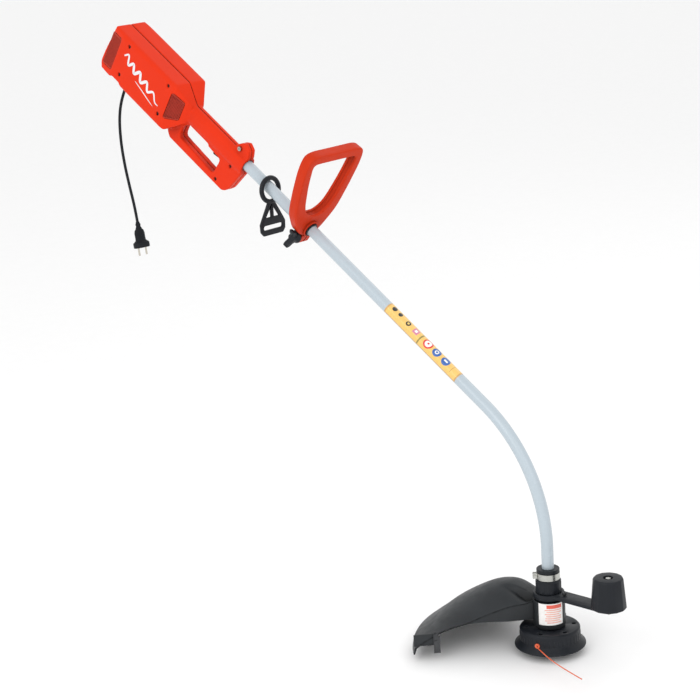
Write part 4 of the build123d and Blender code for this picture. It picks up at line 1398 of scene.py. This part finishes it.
# ---------------------------------------------------------------- shaft and its label
@dataclass
class ShaftTube:
    """The painted tube, straight from the grip and bent down to the head.

    Attributes:
        start: Its upper end along the shaft.
        foot: Height of its lower end above the line plane.
        radius: Its outer radius.
        wall: Thickness of its wall.
        steps: Steps round the bend.
    """

    start: float = 0.070
    foot: float = 0.095
    radius: float = 0.013
    wall: float = 0.0015
    steps: int = 48

    def build(self) -> None:
        """Skin the tube, bore and all."""
        centre = Vector((HEAD_X - BEND_RADIUS, 0.0, BEND_Z))
        turns = [SHAFT_TILT + (QUARTER - SHAFT_TILT) * step / self.steps for step in range(self.steps + 1)]
        stations = [(SHAFT @ Vector((self.start, 0.0, 0.0)), SHAFT_TILT)]
        stations += [(centre + Vector((math.sin(t), 0.0, math.cos(t))) * BEND_RADIUS, t) for t in turns]
        stations.append((Vector((HEAD_X, 0.0, HEAD_Z + self.foot)), QUARTER))
        rings = []
        for angle in (2 * math.pi * step / 72 for step in range(72)):
            ways = [(middle, Vector((math.sin(turn) * math.cos(angle), math.sin(angle),
                                     math.cos(turn) * math.cos(angle)))) for middle, turn in stations]
            rings.append([middle + way * self.radius for middle, way in ways]
                         + [middle + way * (self.radius - self.wall) for middle, way in reversed(ways)])
        file_piece("painted_tube", skin(rings, loop=True), TUBE_PAINT, Body.ROOT, ["shaft_tube"])


@dataclass
class ShaftLabel:
    """The yellow label round the tube.

    Attributes:
        start: Its upper end along the shaft.
        end: Its lower end.
        radius: Radius of the label's face.
        facing: Angle of its middle about the shaft.
        half_turn: Half the angle it covers.
    """

    start: float = 0.629
    end: float = 0.861
    radius: float = 0.01312
    facing: float = math.radians(-20.0)
    half_turn: float = math.radians(101.0)

    def build(self) -> None:
        """Wrap the label and print it."""
        rows, columns = 60, 36
        length = self.end - self.start

        def spot(i: int, j: int) -> tuple[Vector, Vector, Pair]:
            """Find a point of the label.

            Args:
                i: The row.
                j: The column.

            Returns:
                Its place on the face, on the back and in the UV.
            """
            start = Vector((self.start + length * i / rows, 0.0, 0.0))
            turn = (j / columns * 2 - 1) * self.half_turn
            way = Vector((0.0, math.sin(turn + self.facing), math.cos(turn + self.facing)))
            return (start + way * self.radius, start + way * (self.radius - SKIN_SINK),
                    (length * (i / rows - 0.5), turn * self.radius))

        black, red, blue = (0.02, 0.02, 0.02), (0.72, 0.03, 0.03), (0.03, 0.12, 0.42)
        white, pink, olive = (0.9, 0.9, 0.88), (0.66, 0.22, 0.34), (0.30, 0.24, 0.06)
        amber, brown = (0.85, 0.6, 0.15), (0.62, 0.36, 0.10)
        patches = (
            Patch(black, (-0.099, 0.002), 0.0062), Patch(black, (-0.080, 0.002), 0.0054),
            Patch(black, (-0.052, 0.0), 0.0062), Patch(amber, (-0.052, 0.0), 0.0028),
            Patch(pink, (-0.026, 0.0), 0.0075, 0.0070), Patch(white, (-0.026, 0.0), 0.0034, 0.0030),
            Patch(olive, (-0.008, -0.006), 0.0019, 0.015),
            Patch(red, (0.014, 0.0), 0.0122), Patch(white, (0.014, 0.0), 0.0084),
            Patch(red, (0.014, 0.0), 0.0026),
            Patch(blue, (0.042, 0.0), 0.0108), Patch(white, (0.042, 0.0), 0.0050, hollow=0.0026),
            Patch(blue, (0.071, 0.0), 0.0108), Patch(white, (0.071, 0.0), 0.0052, 0.0021),
            Patch(brown, (0.094, 0.0), 0.0010, 0.012),
        )
        finish = Printed("shaft_label_print", (0.86, 0.55, 0.15), (0.62, 0.36, 0.12),
                         (length, 2 * self.half_turn * self.radius), 0.0036, patches)
        file_piece("shaft_label", sheet(rows, columns, spot, SHAFT), finish, Body.ROOT)


# ---------------------------------------------------------------- cutting head
@dataclass
class Guard:
    """The plant guard over the rear of the head.

    Attributes:
        start: First angle about the head, in degrees.
        end: Last angle.
        wall: Thickness of the sheet.
        rim: Radius of the rim.
        rim_foot: Height of the rim's lower edge.
        fold: Depth of the fold beside the crown, at the collar.
        collar: Radii of the collar round the case.
    """

    start: float = 143.0
    end: float = 228.0
    wall: float = 0.003
    rim: float = 0.291
    rim_foot: float = -0.018
    fold: float = 0.020
    collar: Pair = (0.029, 0.034)

    def angle(self, share: float) -> float:
        """Find the angle at a place from one side, at -1, to the other, at 1."""
        return math.radians((self.start + self.end) / 2 + share * (self.end - self.start) / 2)

    def height(self, radius: float, share: float) -> float:
        """Find the height of the top face.

        Args:
            radius: Distance from the head's axis.
            share: Place from the middle to a side, from 0 to 1 either way.

        Returns:
            The height above the line plane.
        """
        crown = [(0.029, 0.086), (0.050, 0.095), (0.072, 0.1035), (0.090, 0.1065), (0.110, 0.1045),
                 (0.140, 0.096), (0.173, 0.080), (0.222, 0.050), (0.255, 0.024), (0.280, 0.005),
                 (0.291, -0.005)]
        sink = [(0.029, 0.004), (0.060, 0.024), (0.105, 0.038), (0.168, 0.036), (0.222, 0.017),
                (0.255, 0.006), (0.291, 0.0)]
        edge = min(1.0, max(0.0, (abs(share) - 0.28) / 0.10))
        fade = min(1.0, max(0.0, (0.108 - radius) / 0.060))
        step = self.fold * fade * edge * edge * (3 - 2 * edge) * (1 - abs(share)) / 0.6
        return smooth_table(crown, radius) - smooth_table(sink, radius) * abs(share) ** 2.2 - step

    def build(self) -> None:
        """Make the guard's sheet, its cheeks and its collar."""
        rows, columns = 44, 40
        hub = 0.030

        def spot(i: int, j: int) -> tuple[Vector, Vector, Pair]:
            """Find a point of the sheet.

            Args:
                i: The row.
                j: The column.

            Returns:
                Its place on the top, on the underside and in a UV that isn't used.
            """
            radius, share = hub + (self.rim - hub) * i / rows, j / columns * 2 - 1
            angle, z = self.angle(share), self.height(radius, share)
            inner = max(radius - 0.001, self.collar[0])
            return polar(radius, angle, z), polar(inner, angle, z - self.wall), (0.0, 0.0)

        inside, outside = self.collar
        ring = [(inside, 0.0245), (outside, 0.0245), (outside, 0.084), (inside, 0.084)]
        guard = joined(sheet(rows, columns, spot, HEAD), self.skirt(), self.cheek(self.start, 1),
                       self.cheek(self.end, -1), turned(rounded(ring, 0.001), HEAD, 72), self.bracket())
        guard.uv_layers.remove(guard.uv_layers[0])
        file_piece("plant_guard", guard, GUARD_PLASTIC, Body.ROOT, ["guard"])

    def skirt(self) -> bpy.types.Mesh:
        """Make the upright rim."""
        rings = []
        for share in (j / 20 - 1 for j in range(41)):
            head, foot = self.height(self.rim, share), self.rim_foot
            section = [(-0.004, head + 0.0038), (-0.001, head + 0.0022), (0.001, head - 0.001),
                       (0.0028, foot + 0.001), (0.0022, foot), (-0.0002, foot), (-0.004, head - 0.002)]
            rings.append([polar(self.rim + out, self.angle(share), z) for out, z in section])
        return skin(rings, HEAD)

    def cheek(self, angle: float, inward: int) -> bpy.types.Mesh:
        """Make the wall under one straight edge.

        Args:
            angle: The edge's angle about the head.
            inward: Which way its thickness goes.

        Returns:
            The wall.
        """
        direction = polar(1.0, math.radians(angle))
        side = Vector((-direction.y, direction.x, 0.0)) * inward
        foot = [(0.031, 0.038), (0.080, 0.038), (0.173, 0.040), (0.222, 0.029), (0.250, 0.022),
                (0.262, 0.010)]
        first, last, bevel = foot[0][0], foot[-1][0], 0.0006
        rings = []
        for radius in (first + (last - first) * i / 32 for i in range(33)):
            head = self.height(radius, 1.0) - bevel
            low = min(smooth_table(foot, radius), head - 0.003)
            section = ((0.0, head), (self.wall, head), (self.wall, low + bevel), (self.wall - bevel, low),
                       (bevel, low), (0.0, low + bevel))
            rings.append([direction * radius + side * across + Vector((0.0, 0.0, z))
                          for across, z in section])
        return skin(rings, HEAD)

    def bracket(self) -> bpy.types.Mesh:
        """Make the upright that carries the line cutter."""
        bar = rounded_bar(0.052, 0.0029, 0.026, 0.0008)
        bar.transform(HEAD @ Matrix.Rotation(math.radians(self.end), 4, "Z")
                      @ Matrix.Translation((0.266, -0.00145, 0.013)))
        return bar


@dataclass
class CuttingHead:
    """The head case with its label, the spool cup, the button, the arm and the roller.

    Attributes:
        boss: Radius of the guard's collar, which carries the label.
        cup_radius: Radius on which the cup's ribs stand.
        roller_out: Distance of the roller's axis from the head's.
        roller_foot: Height of the roller's lower end.
        roller_height: Its height.
        flats: How many flats the roller has.
    """

    boss: float = 0.034
    cup_radius: float = 0.0643
    roller_out: float = 0.155
    roller_foot: float = 0.0994
    roller_height: float = 0.066
    flats: int = 12

    def build(self) -> None:
        """Make every piece of the head."""
        self.case()
        body = ribbed(softened("spool_housing", 0.0007, 40.0), BLACK_PLASTIC,
                      rounded_bar(0.0011, 0.0030, 0.0150, 0.0004, 0.9),
                      Repeated(Direction.RING, 40, self.cup_radius, start=(0.0, 0.0, 0.0035)))
        file_piece("spool_cup", body, None, Body.HEAD, ["spool_housing"])
        self.button()
        self.roller()
        self.label()
        file_piece("roller_arm", softened("guide_arm", 0.0010), BLACK_PLASTIC, Body.ROOT, ["guide_arm"])

    def case(self) -> None:
        """Make the case with its flutes and its small pointer."""
        profile = [(0.0131, 0.152), (0.0235, 0.152), (0.0245, 0.151), (0.0245, 0.1455), (0.0235, 0.145),
                   (0.0235, 0.129), (0.0262, 0.1265), (0.027, 0.1255), (0.027, 0.1015), (0.0262, 0.1005),
                   (0.0262, 0.085), (0.0288, 0.084), (0.0288, 0.029), (0.0131, 0.029)]
        body = ribbed(turned(profile, HEAD), BLACK_PLASTIC, rounded_bar(0.0016, 0.0050, 0.020, 0.0005),
                      Repeated(Direction.RING, 14, 0.0266, start=(0.0, 0.0, 0.1135)))
        file_piece("gear_case", body, None, Body.ROOT, ["head_case"])
        points = [Vector((x, y, z)) for x in (0.0255, 0.02735)
                  for y, z in ((-0.0028, 0.0860), (0.0034, 0.0872), (0.0016, 0.0950))]
        pointer = mesh_of(points, [[0, 1, 2], [3, 4, 5], [0, 1, 4, 3], [1, 2, 5, 4], [2, 0, 3, 5]],
                          HEAD @ Matrix.Rotation(math.radians(-52.0), 4, "Z"))
        file_piece("case_pointer", pointer, WHITE_INK, Body.ROOT)

    def button(self) -> None:
        """Make the tap button with its wearing ribs."""
        profile = [(0.0001, -0.034), (0.008, -0.0338), (0.014, -0.0330), (0.022, -0.0290), (0.0245, -0.0262),
                   (0.026, -0.0230), (0.026, -0.0138), (0.0158, -0.0136), (0.0158, -0.009), (0.013, -0.009),
                   (0.013, -0.018), (0.0001, -0.018)]
        body = ribbed(turned(rounded(profile, 0.001, 2), HEAD, 80), BLACK_GRIP,
                      rounded_bar(0.0012, 0.0020, 0.0085, 0.0004),
                      Repeated(Direction.RING, 20, 0.0256, start=(0.0, 0.0, -0.0186)))
        file_piece("bump_button", body, None, Body.SPOOL, ["tap_button"])

    def roller(self) -> None:
        """Make the tapered roller with its long flats."""
        foot, top = self.roller_foot, self.roller_foot + self.roller_height
        profile = [(0.0062, foot + 0.001), (0.012, foot + 0.001), (0.012, top - 0.014), (0.0275, top - 0.014),
                   (0.033, foot), (0.0362, foot), (0.037, foot + 0.0008), (0.037, foot + 0.003),
                   (0.0318, top - 0.004), (0.0312, top - 0.0022), (0.0298, top - 0.0006), (0.0280, top),
                   (0.0112, top), (0.0104, top - 0.0008), (0.0104, top - 0.007), (0.0062, top - 0.007)]
        flat = 2 * math.pi / self.flats

        def drawn(angle: float) -> float:
            """Pull the wall in towards the middle of each flat.

            Args:
                angle: The angle about the roller's axis.

            Returns:
                The factor on the radius.
            """
            across = (angle / flat) % 1.0 - 0.5
            return (math.cos(flat / 2) / math.cos(across * flat)) ** 0.6

        drum = turned(profile, HEAD @ Matrix.Translation((self.roller_out, 0.0, 0.0)), 192, drawn)
        file_piece("edging_roller", drum, BLACK_PLASTIC, Body.ROLLER, ["guide_roller"])

    def label(self) -> None:
        """Wrap the white label with its red print round the collar."""
        low, high = 0.0350, 0.0830
        middle, half = math.radians(-46.0), math.radians(47.0)
        radius = self.boss + 0.00014
        rows, columns = 40, 24

        def spot(i: int, j: int) -> tuple[Vector, Vector, Pair]:
            """Find a point of the label.

            Args:
                i: The row.
                j: The column.

            Returns:
                Its place on the face, on the back and in the UV.
            """
            turn, z = (i / rows * 2 - 1) * half, low + (high - low) * j / columns
            return (polar(radius, middle + turn, z), polar(radius - SKIN_SINK, middle + turn, z),
                    (turn * radius, z - (low + high) / 2))

        red, pale = (0.74, 0.10, 0.06), (0.82, 0.42, 0.36)
        patches = [Patch(red, (0.0075, 0.0175), 0.0170, 0.0042)]
        for row in range(7):
            shift = 0.0025 * math.sin(row * 2.3)
            patches.append(Patch(pale, (0.0050 + shift, 0.0100 - row * 0.0047), 0.0185 - abs(shift), 0.0013))
        finish = Printed("head_label_print", (0.86, 0.84, 0.82), (0.82, 0.80, 0.78),
                         (2 * half * radius, high - low), 0.0012, tuple(patches))
        file_piece("head_label", sheet(rows, columns, spot, HEAD), finish, Body.ROOT)


# ---------------------------------------------------------------- strap hanger
@dataclass
class StrapHanger:
    """The black hanger on the shaft.

    Attributes:
        edge: Rounding of its edges.
    """

    edge: float = 0.0009

    def build(self) -> None:
        """Round the hanger's frame and ring."""
        file_piece("hanger_frame", softened("strap_hanger", self.edge, 30.0), BLACK_PLASTIC, Body.HANGER,
                   ["strap_hanger"])


# ---------------------------------------------------------------- metal and inner parts
CARRIED_OVER = {
    BLACK_STEEL: ("housing_screws", "line_cutter", "guard_screws", "arm_screw"),
    ZINC_STEEL: ("clamp_bolt", "clamp_nut", "collar_band", "band_screw", "roller_bolt", "roller_nut",
                 "roller_axle", "handle_bolt", "head_spindle", "spindle_nut", "cable_coupling", "motor_shaft",
                 "trigger_pin", "drive_cable"),
    BEARING_STEEL: ("motor_bearings", "head_bearings"),
    SPRING_STEEL: ("brush_springs", "trigger_spring", "tap_spring"),
    CORE_STEEL: ("stator_core", "armature_core"),
    COPPER_WIRE: ("field_coils", "armature_windings"),
    COPPER_BARS: ("commutator",),
    CARBON: ("carbon_brushes",),
    NYLON: ("liner_spacers", "cable_liner", "line_spool"),
    BLACK_PLASTIC: ("handle_bush", "brush_holders", "cooling_fan", "switch_body", "spool_cover"),
    PIN_METAL: ("plug_pins",),
    ORANGE_LINE: ("line_eyelets", "wound_line"),
}


def dress_carried_over() -> None:
    """Give the frame's own nodes that keep their shape their finishes."""
    for finish, nodes in CARRIED_OVER.items():
        for name in nodes:
            dressed(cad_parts[name].data, finish)


def main() -> None:
    """Build the trimmer piece by piece."""
    logging.basicConfig(level=logging.INFO, format="%(name)s: %(message)s")
    for part in (Studio, Cords, MotorHousing, FrontHandle, StrapHanger, ShaftTube, ShaftLabel, Guard,
                 CuttingHead):
        part().build()
    dress_carried_over()


if __name__ == "__main__":
    main()
